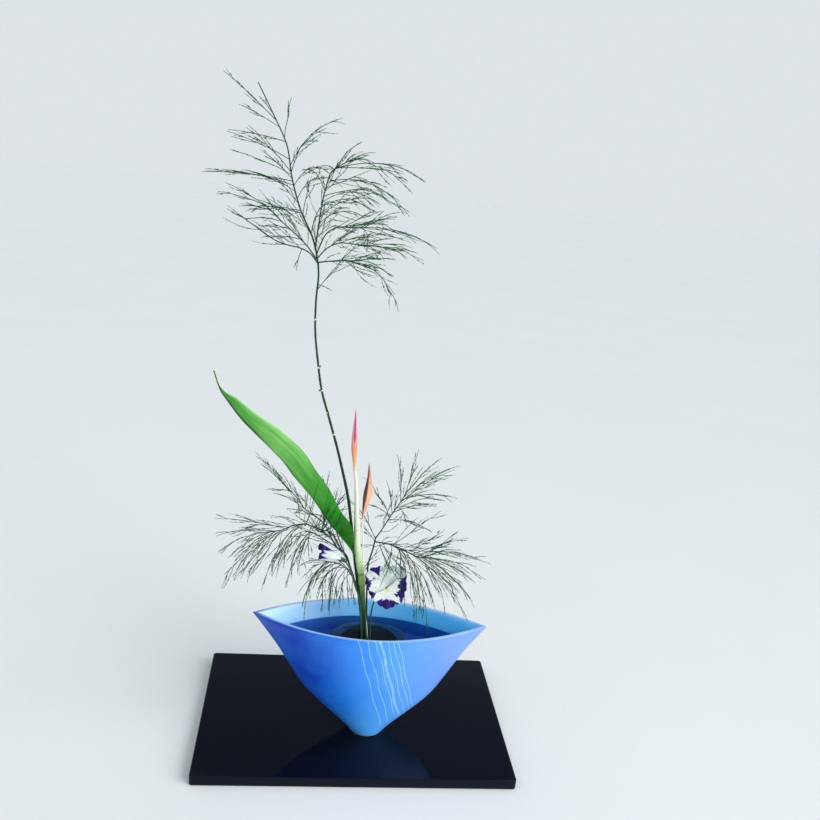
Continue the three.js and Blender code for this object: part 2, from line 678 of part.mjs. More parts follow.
// Water fills the basin round the dish and covers the pin holder. Stems stand in its holes.
function waterGeometry() {
  const bottom = BOWL.floor + GAP;
  const inset = WATER.wallGap;
  const rings = [
    basinRing(bottom, BOWL.floorFillet + inset),
    basinRing(bottom + BOWL.floorFillet, inset),
    basinRing((bottom + WATER.top) / 2, inset),
    basinRing(WATER.top, inset),
  ];
  const pocketTop = bottom + DISH.height + GAP;
  const pocket = loft([
    oval(DISH.halfLength + GAP, DISH.halfDepth + GAP, bottom - 2),
    oval(DISH.halfLength + GAP, DISH.halfDepth + GAP, pocketTop),
  ]);
  let body = solid(loft(rings)).subtract(solid(pocket));
  const sides = 6;
  const above = 35;
  for (const stem of STEMS) {
    const route = smoothRoute(stem.route, 4).map((point) => inBowl(point));
    const radius = (stem.radius + 1.3 * GAP) / Math.cos(Math.PI / sides);
    const start = add(route[0], times(UP, 5));
    const wet = route.filter((point) => point[2] > start[2] && point[2] < WATER.top + above);
    body = body.subtract(solid(taperedTube(resample([start, ...wet], 3), radius, radius, sides)));
  }
  return geometryOf(body);
}

// A point of the standing frame, seen from the bowl's own turned frame
function inBowl(point) {
  const angle = radians(-BOWL.turn);
  const [x, y] = [point[0] - BOWL.x, point[1] - BOWL.y];
  return [
    x * Math.cos(angle) - y * Math.sin(angle), x * Math.sin(angle) + y * Math.cos(angle), point[2],
  ];
}

// The pin holder: a lead disc with rows of upright pins, none where a stem is pushed in
function kenzanGeometry() {
  const { radius, edge } = KENZAN;
  const profile = [
    [0, kenzanBottom], [radius - edge, kenzanBottom], [radius, kenzanBottom + edge],
    [radius, kenzanTop - edge], [radius - edge, kenzanTop], [0, kenzanTop],
  ].map(([x, y]) => new THREE.Vector2(x, y));
  const disc = new THREE.LatheGeometry(profile, 24).rotateX(Math.PI / 2);
  const pieces = [disc];
  const pinTop = kenzanTop + KENZAN.pinLength;
  const feet = STEMS.flatMap((stem) => smoothRoute(stem.route, 8)
    .filter((point) => point[2] < pinTop + 3)
    .map((point) => ({ at: inBowl(point), stemRadius: stem.radius })));
  const reach = KENZAN.pinRings;
  for (let q = -reach; q <= reach; q += 1) {
    for (let r = Math.max(-reach, -q - reach); r <= Math.min(reach, reach - q); r += 1) {
      const x = KENZAN.pinPitch * (q + r / 2);
      const y = KENZAN.pinPitch * r * Math.sqrt(3) / 2;
      const taken = feet.some(({ at, stemRadius }) => (
        Math.hypot(at[0] - x, at[1] - y) < stemRadius + KENZAN.pinRadius + 2 * GAP));
      if (!taken) pieces.push(pinGeometry(x, y));
    }
  }
  return geometryOf(fuse(pieces));
}

function pinGeometry(x, y) {
  const tip = kenzanTop + KENZAN.pinLength;
  const ring = (height) => [0, 1, 2].map((i) => {
    const angle = 2 * Math.PI * i / 3;
    return [x + KENZAN.pinRadius * Math.cos(angle), y + KENZAN.pinRadius * Math.sin(angle), height];
  });
  return loft([ring(kenzanTop - KENZAN.sunk), ring(tip - KENZAN.pointLength)], null, [x, y, tip]);
}

// Heliconia: the main stalk swells at its joint and thins towards the bract
function heliconiaStemGeometry() {
  const route = smoothRoute(HELICONIA_STEM, 6);
  const radii = [
    [0, 2.5], [0.1, 2.6], [0.18, 2.9], [0.34, 3.8], [0.395, 4.5], [0.405, 5.1], [0.42, 4.7],
    [0.5, 4.8], [0.6, 4.5], [0.7, 4], [0.84, 2.9], [0.95, 2.1], [1, 1.9],
  ];
  const extraShares = [0.26, 0.77];
  const shares = [...radii.map((row) => row[0]), ...extraShares].sort((a, b) => a - b);
  return loft(ringsAlong(route, shares, (share) => between(radii, share), 8));
}

// A bract: a pointed, flattened bud round a line, widest where its widths say
function bractGeometry(route, widths, flatness) {
  const shares = widths.map((row) => row[0]);
  const rings = ringsAlong(smoothRoute(route, 6), shares, (share) => between(widths, share), 8,
    flatness);
  return loft(rings, null, route[route.length - 1]);
}

// The leaf: one half faces the front, the other is folded back along the midrib
function leafGeometry() {
  const route = smoothRoute(LEAF_FOLD, 6);
  const grid = evenShares(LEAF.stations).map((share) => {
    const { point, heading } = along(route, share);
    const front = unit(sub([0, -1, 0], times(heading, dot([0, -1, 0], heading))));
    const side = cross(heading, front);
    const width = leafWidth(share);
    const wave = LEAF.wave * Math.sin(share * 21) * Math.sin(Math.PI * share);
    const lean = (turn, w, lift) => add(point, add(times(side, w * Math.cos(radians(turn))),
      times(front, w * Math.sin(radians(turn)) + lift)));
    const outer = LEAF.outerWidth * width;
    const folded = -LEAF.foldedWidth * width;
    return [
      lean(LEAF.outerTurn, outer, wave), lean(LEAF.outerTurn + 4, outer * 0.55, wave / 2),
      point, lean(LEAF.foldedTurn, folded * 0.5, 0), lean(LEAF.foldedTurn - 12, folded, -wave),
    ];
  });
  return sheet(grid, LEAF.thickness);
}

// Share of the full width: a narrow stalk, a long blade and a drawn-out tip
function leafWidth(share) {
  const stalk = 0.08;
  const blade = Math.max(0, (share - 0.05) / 0.95);
  const body = 1.55 * Math.sin(Math.PI * blade ** 0.72) ** 0.9 * (1 - 0.32 * blade);
  const tip = Math.max(0, (share - 0.86) / 0.14);
  return Math.max(stalk, Math.min(1, body) * (1 - 0.75 * tip));
}

// Pansies: five petals in three layers round a short green cup
const PETALS = [
  { angle: 125, spread: 62, length: 27, layer: -1.3 },
  { angle: 55, spread: 62, length: 27, layer: -2.6 },
  { angle: 188, spread: 55, length: 26, layer: 0 },
  { angle: -8, spread: 55, length: 27, layer: 1.3 },
  { angle: -90, spread: 68, length: 29, layer: 2.6 },
];

// One petal in its flower's frame: x and y across the face, z towards the viewer
function petalGrid(petal, bloom, phase) {
  const { scale, layering } = bloom;
  const { columns, rows } = PETAL_GRID;
  const fold = radians(bloom.fold);
  return Array.from({ length: rows + 1 }, (_, i) => {
    const out = i / rows;
    return Array.from({ length: columns + 1 }, (_, j) => {
      const swing = 2 * j / columns - 1;
      const edge = 1 - 0.2 * swing * swing;
      const ruffle = 1 + 0.05 * out * Math.sin(5 * swing + phase);
      const radius = scale * mix(2.2, petal.length * edge * ruffle, out);
      const angle = radians(petal.angle + petal.spread * swing * (0.75 + 0.25 * out));
      const wave = 0.35 * out * out * Math.sin(7 * swing + phase);
      const spread = radius * Math.cos(fold);
      const layer = scale * layering * petal.layer / Math.cos(fold);
      const height = layer + wave + radius * Math.sin(fold);
      return [spread * Math.cos(angle), spread * Math.sin(angle), height];
    });
  });
}

function pansyGeometry(bloom) {
  const pieces = PETALS.map((petal, i) => (
    sheet(petalGrid(petal, bloom, 1.7 * i), PETAL_GRID.thickness)));
  const length = bloom.throat + THROAT.back;
  const throat = new THREE.CylinderGeometry(THROAT.frontRadius, THROAT.backRadius, length, 6);
  throat.rotateX(Math.PI / 2).translate(0, 0, (bloom.throat - THROAT.back) / 2);
  throat.scale(bloom.scale, bloom.scale, bloom.scale);
  pieces.push(throat);
  const geometry = geometryOf(fuse(pieces));
  const frame = new THREE.Matrix4();
  const face = new THREE.Vector3(...bloom.faces).normalize();
  const right = new THREE.Vector3().crossVectors(new THREE.Vector3(0, 0, 1), face).normalize();
  const top = new THREE.Vector3().crossVectors(face, right);
  frame.makeBasis(right, top, face).setPosition(...bloom.centre);
  return geometry.applyMatrix4(frame);
}

// Places that the seeded shoots and needles keep clear of, as points with a radius
function obstacles() {
  const list = [];
  const follow = (points, radius, steps = 10) => {
    for (const point of smoothRoute(points, steps)) list.push({ point, radius });
  };
  follow(TALL_STEM.slice(0, 12), 3.6);
  follow(HELICONIA_STEM, 5.2);
  follow(BRACT_STEM, 1.2);
  follow(LARGE_PANSY_STEM, 1.6);
  follow(SMALL_PANSY_STEM, 1.6);
  follow(TALL_BRACT.route, 4.6);
  follow(SHORT_BRACT.route, 7.2);
  follow(LEAF_FOLD, 3, 12);
  for (const bloom of [LARGE_PANSY, SMALL_PANSY]) {
    const face = unit(bloom.faces);
    const right = unit(cross(UP, face));
    const top = cross(face, right);
    for (let i = 0; i < 24; i += 1) {
      const angle = radians(15 * i);
      const outwards = add(times(right, Math.cos(angle)), times(top, Math.sin(angle)));
      for (const share of [0.35, 0.7, 1]) {
        const reach = 26 * bloom.scale * share;
        const across = times(outwards, reach * Math.cos(radians(bloom.fold)));
        const ahead = times(face, reach * Math.sin(radians(bloom.fold)));
        list.push({ point: add(bloom.centre, add(across, ahead)), radius: 5 });
      }
    }
  }
  const leaf = leafGeometry().attributes.position;
  for (let i = 0; i < leaf.count / 2; i += 1) {
    list.push({ point: [leaf.getX(i), leaf.getY(i), leaf.getZ(i)], radius: 4 });
  }
  return list;
}

function isClear(from, to, list, margin) {
  const step = sub(to, from);
  const length2 = dot(step, step);
  return list.every(({ point, radius }) => {
    const t = Math.min(1, Math.max(0, dot(sub(point, from), step) / length2));
    const nearest = add(from, times(step, t));
    return size(sub(point, nearest)) > radius + margin;
  });
}

// A branchlet's curve: it starts the way its limb is heading, then turns to its tip
function branchletLine(limbLine, row, rootShare, arch) {
  const [share, ...reach] = row;
  const tip = add(along(limbLine, share).point, reach);
  const { point, heading } = along(limbLine, rootShare);
  const toTip = sub(tip, point);
  const bend = times(add(heading, UP), arch * size(toTip));
  const middle = add(add(point, times(toTip, 0.5)), bend);
  const steps = size(toTip) > SPRIG.longBranchlet ? 3 : 2;
  return evenShares(steps).map((t) => {
    const early = mixPoints(point, middle, t);
    const late = mixPoints(middle, tip, t);
    return mixPoints(early, late, t);
  });
}

// Any direction square to a line
function sideways(heading, turn) {
  const level = unit(cross(heading, Math.abs(heading[2]) > 0.9 ? [1, 0, 0] : UP));
  const lifted = cross(level, heading);
  return add(times(level, Math.cos(turn)), times(lifted, Math.sin(turn)));
}

// Side shoots of a branchlet, to the left and right by turns
function forkLines(line, length, random) {
  const forks = [];
  const count = Math.floor(length / SPRIG.forkSpacing);
  for (let i = 0; i < count; i += 1) {
    const share = mix(...SPRIG.forkStretch, (i + 0.3 + 0.5 * random()) / count);
    const reach = length * mix(...SPRIG.forkLength, random()) * (1.15 - 0.6 * share);
    const lean = radians(SPRIG.forkTurn * (0.7 + 0.6 * random()));
    const turn = (i % 2 ? Math.PI : 0) + 1.1 * (random() - 0.5);
    const { point, heading } = along(line, share);
    const side = sideways(heading, turn);
    const direction = add(times(heading, Math.cos(lean)), times(side, Math.sin(lean)));
    const tip = add(point, times(direction, reach));
    forks.push([point, add(tip, times(UP, -reach * SPRIG.forkDroop))]);
  }
  return forks;
}

function needlePieces(line, length, obstacleList, random) {
  const pieces = [];
  const count = Math.floor(length / SPRIG.needleSpacing);
  for (let i = 0; i < count; i += 1) {
    const share = SPRIG.lastNeedle * (i + 0.4 + 0.5 * random()) / count;
    const { point, heading } = along(line, share);
    const side = sideways(heading, 2 * Math.PI * random());
    const lean = radians(SPRIG.needleAngle);
    const direction = add(times(heading, Math.cos(lean)), times(side, Math.sin(lean)));
    const tip = add(point, times(direction, SPRIG.needleLength));
    if (!isClear(point, tip, obstacleList, SPRIG.clearance)) continue;
    pieces.push(pointedShoot([point, tip], SPRIG.needleRadius, SPRIG.needleRadius));
  }
  return pieces;
}

function asparagusGeometry(plant, obstacleList, seed) {
  const stem = resample(smoothRoute(plant.stem, 4), Math.max(8, plant.stem.length));
  const pieces = [loft(ringsAt(stem, (share) => between(plant.stemRadii, share), 5))];
  let number = seed;
  for (const limb of plant.limbs) {
    const line = limb.route ? limbLine(stem, limb.route) : stem;
    if (limb.route) pieces.push(taperedTube(line, ...limb.radii, 3));
    const roots = rootShares(line, limb.branchlets);
    limb.branchlets.forEach((row, i) => {
      number += 1;
      const branchlet = branchletLine(line, row, roots[i], limb.arch);
      pieces.push(...branchletPieces(branchlet, obstacleList, seeded(number)));
    });
  }
  if (plant.trimmedNodes) pieces.push(...stubPieces(stem, plant.trimmedNodes));
  return geometryOf(fuse(pieces));
}

// A limb's line, rooted on the middle line of its stem
function limbLine(stem, route) {
  const rooted = [nearestOn(stem, route[0]), ...route.slice(1)];
  return resample(smoothRoute(rooted, 4), route.length);
}

// Where each branchlet leaves its limb: those that share one spot are set a little apart
function rootShares(limbLine, rows) {
  const spacing = SPRIG.rootSpacing / lengthOf(limbLine);
  const order = rows.map((row, i) => i).sort((a, b) => rows[b][0] - rows[a][0]);
  const shares = [];
  let highest = 0.99;
  for (const i of order) {
    shares[i] = Math.min(rows[i][0], highest);
    highest = shares[i] - spacing;
  }
  return shares;
}

function branchletPieces(line, obstacleList, random) {
  const length = size(sub(line[line.length - 1], line[0]));
  const pieces = [pointedShoot(line, SPRIG.rootRadius, SPRIG.branchletRadius)];
  const forks = forkLines(line, length, random);
  pieces.push(...needlePieces(line, length, obstacleList, random));
  forks.forEach((fork, i) => {
    const clear = isClear(fork[0], fork[1], obstacleList, SPRIG.clearance);
    if (i % SPRIG.keepEveryFork === 0 && clear) {
      pieces.push(pointedShoot(fork, SPRIG.forkRadius, SPRIG.forkRadius));
    }
  });
  return pieces;
}

// The tall stalk's side shoots were cut off, which left short stubs
function stubPieces(stem, shares) {
  return shares.map((share, i) => {
    const { point, heading } = along(stem, share);
    const side = sideways(heading, STUB.turn * i);
    const direction = add(times(heading, 0.5), times(side, 0.85));
    const line = [point, add(point, times(direction, STUB.length))];
    return taperedTube(line, STUB.radius, STUB.radius, 4);
  });
}

// The scene
const group = new THREE.Group();
group.add(part('display_board', boardGeometry(), COLOURS.lacquer, 0.12));

const standing = new THREE.Group();
standing.position.z = BOARD.thickness + GAP;
group.add(standing);

const vessel = new THREE.Group();
vessel.position.set(BOWL.x, BOWL.y, 0);
vessel.rotation.z = radians(BOWL.turn);
standing.add(vessel);
vessel.add(part('bowl', bowlGeometry(), COLOURS.ceramic, 0.35));
vessel.add(part('kenzan_dish', dishGeometry(), COLOURS.clear, 0.1));
vessel.add(part('kenzan', kenzanGeometry(), COLOURS.lead, 0.6, 0.6));
vessel.add(part('water', waterGeometry(), COLOURS.water, 0.05));

const around = obstacles();
standing.add(part('heliconia_stem', heliconiaStemGeometry(), COLOURS.stalk, 0.5));
standing.add(part('heliconia_leaf', leafGeometry(), COLOURS.leaf, 0.45));
standing.add(part('heliconia_bract_tall',
  bractGeometry(TALL_BRACT.route, TALL_BRACT.widths, 0.6), COLOURS.bract, 0.4));
standing.add(part('heliconia_bract_short',
  bractGeometry(SHORT_BRACT.route, SHORT_BRACT.widths, 0.5), COLOURS.bract, 0.4));
standing.add(part('bract_stem',
  taperedTube(resample(smoothRoute(BRACT_STEM, 4), 8), 1.1, 0.9, 5), COLOURS.paleStalk, 0.5));
standing.add(part('pansy_large', pansyGeometry(LARGE_PANSY), COLOURS.petal, 0.7));
standing.add(part('pansy_large_stem',
  taperedTube(resample(smoothRoute(LARGE_PANSY_STEM, 4), 9), 1.3, 1.1, 5), COLOURS.pansyStalk, 0.6));
standing.add(part('pansy_small', pansyGeometry(SMALL_PANSY), COLOURS.petal, 0.7));
standing.add(part('pansy_small_stem',
  taperedTube(resample(smoothRoute(SMALL_PANSY_STEM, 4), 9), 1.3, 1, 5), COLOURS.pansyStalk, 0.6));
standing.add(part('asparagus_tall', asparagusGeometry(ASPARAGUS_TALL, [], 100), COLOURS.fern, 0.7));
standing.add(part('asparagus_right', asparagusGeometry(ASPARAGUS_RIGHT, around, 300),
  COLOURS.fern, 0.7));
standing.add(part('asparagus_left', asparagusGeometry(ASPARAGUS_LEFT, around, 500),
  COLOURS.fern, 0.7));

export default group;
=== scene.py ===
"""The looks of an ikebana arrangement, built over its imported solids.

Lengths are millimetres until a mesh is made. Heights are above the board's top, apart from the
board's own and the camera's, which are above the floor. +X is to the right and +Y goes away
from the camera.
"""
import math

import bpy
import numpy as np
from mathutils import Matrix, Vector


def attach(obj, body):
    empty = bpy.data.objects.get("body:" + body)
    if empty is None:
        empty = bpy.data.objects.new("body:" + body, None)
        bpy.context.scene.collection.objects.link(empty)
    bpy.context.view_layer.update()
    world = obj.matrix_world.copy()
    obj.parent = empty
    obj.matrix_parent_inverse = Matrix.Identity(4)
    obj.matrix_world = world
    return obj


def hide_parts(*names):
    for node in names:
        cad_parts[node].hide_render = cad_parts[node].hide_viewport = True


MM = 0.001
GAP = 0.3
UP = np.array([0.0, 0.0, 1.0])

# Sizes shared with the solids
BOARD = {"width": 450, "depth": 300, "thickness": 15, "corner": 3, "edge": 1.5}
BOWL = {"x": 11, "y": -38, "turn": -3, "height": 181, "rim_width": 5.5, "tip_wall": 9.5,
        "floor": 121, "fillet": 3, "foot_radius": 25, "foot_recess": 4, "foot_ring": 5,
        "foot_shift": (7, 3)}
# Height above the foot, half length and half depth of the bowl's outside
BOWL_STATIONS = [(0, 25, 25), (7, 30, 28), (20, 44, 31.5), (42, 69.5, 37), (66, 93.5, 43),
                 (98, 114, 50), (129, 132, 54.5), (155, 149.5, 58), (181, 168, 60.5)]
WATER = {"top": 155, "wall_gap": 0.35}
DISH = {"half_length": 55, "half_depth": 45, "height": 24, "wall": 1.6, "base": 2}
KENZAN = {"radius": 42, "base": 5, "pin_length": 16.5}
KENZAN_BOTTOM = BOWL["floor"] + GAP + DISH["base"] + GAP
KENZAN_TOP = KENZAN_BOTTOM + KENZAN["base"]
STEM_FOOT = KENZAN_TOP + 2 * GAP
# The pins stand closer together and are a little stouter than those of the solids
PINS = {"radius": 0.7, "pitch": 2.75, "edge": 1.1}


def unit(a):
    return a / np.linalg.norm(a)


def mix(a, b, t):
    return a + (b - a) * t


# Pansies: the middle of each bloom, the way it faces, how far its petals fold forward, how far
# apart they lie, how ruffled they are, how much longer the upper ones are than the lower and
# how far they all reach, and how much they swell near their foot.
# One is open, the other is a cup seen from its side.
THROAT = {"back": 6, "stem_gap": 1}
LARGE_PANSY = {"centre": (24.5, -72.5, 249), "faces": (-0.05, -0.9, 0.43), "scale": 1.08,
               "fold": 4, "layering": 1, "ruffle": 1, "skew": 0.17, "reach": 1,
               "swell": 0}
SMALL_PANSY = {"centre": (-42, -61, 285), "faces": (-0.95, -0.08, 0.31), "scale": 1,
               "fold": 69, "layering": 0.4, "ruffle": 0.15, "skew": 0.2, "reach": 1.12,
               "swell": 0.35}


def stem_end(bloom):
    behind = THROAT["back"] * bloom["scale"] + THROAT["stem_gap"]
    return tuple(np.array(bloom["centre"]) - unit(np.array(bloom["faces"])) * behind)


# Routes of the stems, from the pin holder up
TALL_STEM = [
    (6, -30, STEM_FOOT), (-1, -32, 175), (-12, -32, 235), (-24, -32, 300), (-35, -32, 363),
    (-59, -32, 447), (-81, -32, 513), (-92, -32, 574), (-96, -32, 608), (-96, -32, 647),
    (-96, -32, 685), (-104, -32, 707), (-115, -32, 725), (-124, -32, 748), (-132, -32, 772),
    (-140, -32, 796), (-145, -32, 825), (-158, -32, 848), (-175, -32, 872), (-181, -32, 887)]
RIGHT_STEM = [
    (9, -22, STEM_FOOT), (4, -22, 202), (1.5, -22, 258), (4, -22, 271), (7.5, -22, 289),
    (9, -22, 302)]
LEFT_STEM = [
    (7, -12, STEM_FOOT), (-3, -12, 180), (-10, -13, 213), (-20, -13, 241), (-32, -14, 271),
    (-47, -14, 281)]
HELICONIA_STEM = [
    (8, -44, STEM_FOOT), (5, -44, 160), (-3, -44, 214), (-7, -44, 245), (-12, -44, 268),
    (-18, -44, 299), (-21, -44, 330), (-26, -44, 386), (-30, -44, 408)]
BRACT_STEM = [
    (10, -36, STEM_FOOT), (7, -36, 159), (-1, -36, 210), (-8, -37, 273), (-10, -37, 303),
    (-13, -37, 334)]
LARGE_PANSY_STEM = [
    (13, -54, STEM_FOOT), (10, -55, 167), (9, -57, 205), (14, -58.5, 230), (20, -61, 242),
    stem_end(LARGE_PANSY)]
SMALL_PANSY_STEM = [
    (2, -57, STEM_FOOT), (-8, -58, 215), (-16, -59, 240), (-22, -60, 258), (-28, -60.5, 273),
    stem_end(SMALL_PANSY)]
STEM_RADII = [(TALL_STEM, 2.7), (RIGHT_STEM, 1.5), (LEFT_STEM, 1.5), (HELICONIA_STEM, 3),
              (BRACT_STEM, 1.1), (LARGE_PANSY_STEM, 1.3), (SMALL_PANSY_STEM, 1.3)]

# Limbs and branchlets of the three asparagus plants, as in the solids: a branchlet is how far
# along its limb it stands, then reach to the right, depth away from the front and rise.
# Where a limb has fewer fine shoots than the others, "strands" is the share that it has.
# "forward" lists fine shoots that come forward past the leaf or the pansy: where each one
# leaves its limb, across and up, and then how far it reaches right, forward and up.
ASPARAGUS_TALL = {
    "stem": TALL_STEM, "trimmed": (0.42, 0.46, 0.5, 0.54, 0.62),
    "radii": [(0, 2.6), (0.25, 2.1), (0.45, 1.6), (0.7, 1.2), (1, 0.6)],
    "limbs": [
        {"arch": 0.03, "strands": 0.4, "branchlets": [
            (0.94, -65, 10, 50), (0.93, -45, -35, 20), (0.95, -20, 30, 20), (0.91, 5, 25, 50),
            (0.91, -65, -20, 5), (0.88, -80, 45, 25), (0.86, -55, 20, 50), (0.86, -65, -50, 20),
            (0.85, -45, 70, 30), (0.84, -90, 30, 10), (0.85, -105, -25, 0), (0.83, -60, 80, 15),
            (0.8, -50, 90, -10), (0.8, -70, -70, 5), (0.77, -50, -95, 40), (0.8, 10, 60, 40),
            (0.76, -35, 75, 40), (0.67, 55, 40, 65), (0.68, 20, -15, -5), (0.81, -35, -30, 35)]},
        {"arch": 0.2, "branchlets": [
            (0.87, 65, 40, 55), (0.86, 25, -40, 40), (0.84, 55, -60, 20), (0.82, 50, 75, 15),
            (0.76, 35, 95, 30)]},
        {"route": [(-99, -32, 695), (-99, -37, 728), (-96, -42, 757), (-91, -46, 783),
                   (-84, -49, 798), (-70, -52, 802)], "arch": 0.16, "radii": (1, 0.7),
         "strands": 0.6, "branchlets": [
            (0.76, 35, -20, 45), (0.85, 50, 25, 25), (0.98, 20, -30, 10), (0.99, 95, -15, -10),
            (0.93, 95, 45, -25), (0.73, 105, 20, -35), (0.57, 100, -35, -10), (0.51, 75, 65, -5),
            (0.28, 55, -60, 15), (0.21, 40, 60, 25), (0.62, -30, 55, 20), (0.46, 65, 45, -5),
            (0.35, 70, -60, 25), (0.65, 75, 50, 0), (0.83, 50, -40, 15), (0.13, 40, -55, 15)]},
        {"route": [(-97, -32, 684), (-112, -38, 701), (-126, -44, 714), (-146, -52, 731),
                   (-161, -59, 746), (-168, -62, 750)], "arch": 0.06, "radii": (0.9, 0.65),
         "strands": 0.6, "branchlets": [
            (0.91, -50, -10, 25), (0.94, -60, 25, 10), (0.85, -35, -35, 5), (0.9, -30, 40, -10),
            (0.66, -45, 45, -5), (0.52, -35, -45, 5), (0.25, -40, 60, 40), (0.33, -50, 30, -5)]},
        {"route": [(-96, -32, 680), (-104, -29, 688), (-117, -25, 695), (-140, -17, 698),
                   (-156, -12, 703), (-176, -5, 714)], "arch": 0.06, "radii": (0.9, 0.6),
         "strands": 0.4, "branchlets": [
            (0.98, -40, -5, 22), (0.29, -5, -20, -25), (0.32, -35, 50, 20), (0.54, -40, -40, 30)]},
        {"route": [(-98, -32, 690), (-90, -43, 717), (-73, -54, 729), (-55, -64, 730),
                   (-43, -70, 732)], "arch": 0.18, "radii": (0.9, 0.65),
         "branchlets": [
            (0.92, 40, -20, 15), (0.98, 45, 30, 20), (0.87, 100, -30, -20), (0.75, 60, 60, -5),
            (0.95, 5, -40, -25), (0.67, 50, 45, 20)]},
        {"route": [(-97, -32, 684), (-83, -21, 701), (-64, -10, 705), (-37, 5, 701)],
         "arch": 0.14, "radii": (0.9, 0.65),
         "branchlets": [
            (0.93, 80, -20, -10), (0.99, 65, 30, 0), (0.86, 60, -50, -5), (0.94, 35, 55, -25),
            (0.49, 60, 35, 5), (0.65, 55, -35, 20), (0.29, 55, 60, 30)]},
        {"route": [(-96, -32, 680), (-65, -44, 687), (-42, -53, 684), (-25, -60, 680)],
         "arch": 0.14, "radii": (0.9, 0.65),
         "branchlets": [
            (0.75, 35, -40, -5), (0.96, 35, -5, -50), (0.38, 55, 40, 0), (0.29, 75, 65, -20),
            (0.55, 55, -25, 10)]},
    ],
}
ASPARAGUS_RIGHT = {
    "stem": RIGHT_STEM, "trimmed": (), "radii": [(0, 1.5), (1, 1)],
    "limbs": [
        {"arch": 0.1, "branchlets": [
            (0.98, -40, 20, 50), (0.91, 45, 25, -10), (0.96, -30, -10, 30), (0.92, -25, -10, 0)]},
        {"route": [(9, -22, 299), (20, -28, 324), (26, -33, 341), (35, -38, 359), (45, -45, 385)],
         "arch": 0.1, "radii": (0.95, 0.65),
         "branchlets": [
            (0.76, -10, 10, 65), (0.88, 10, -20, 75), (0.95, 50, 35, 40), (0.86, 70, -15, 55),
            (0.74, 75, 20, 45), (0.8, 70, -35, 20), (0.62, 70, 40, 0), (0.54, 55, -30, 25),
            (0.41, 65, 15, -25), (0.67, 10, -45, -10), (0.48, -45, -15, 60), (0.5, -20, 30, -20),
            (0.51, -10, 25, 40), (0.5, -35, 20, 5)]},
        {"route": [(8, -22, 294), (26, -35, 298), (37, -45, 299), (48, -54, 298), (61, -65, 296),
                   (73, -75, 299)], "arch": 0.16, "radii": (0.95, 0.65),
         "strands": 0.65,
         "forward": [(30, 298, -18, 62, -34), (40, 299, 0, 52, -42), (14, 296, 34, 66, -38),
                     (20, 297, 46, 64, -22)],
         "branchlets": [
            (0.46, 60, 30, 45), (0.98, 40, -10, 45), (0.9, 70, 25, 20), (0.98, 40, -35, 30),
            (0.83, 110, 15, -15), (0.98, 85, -20, -20), (0.9, 90, 35, -55), (0.74, 75, 55, -70),
            (0.98, 75, -15, -65), (0.87, 80, 25, -105), (0.75, 10, -35, -90),
            (0.87, 15, -45, -85), (0.67, 30, 10, -100), (0.6, 55, 50, -110), (0.9, 25, -30, 55),
            (0.98, 40, 15, 15), (0.81, 40, 45, 10), (0.71, 0, 40, -100), (0.98, 40, 25, -85),
            (0.98, 45, -40, -30)]},
    ],
}
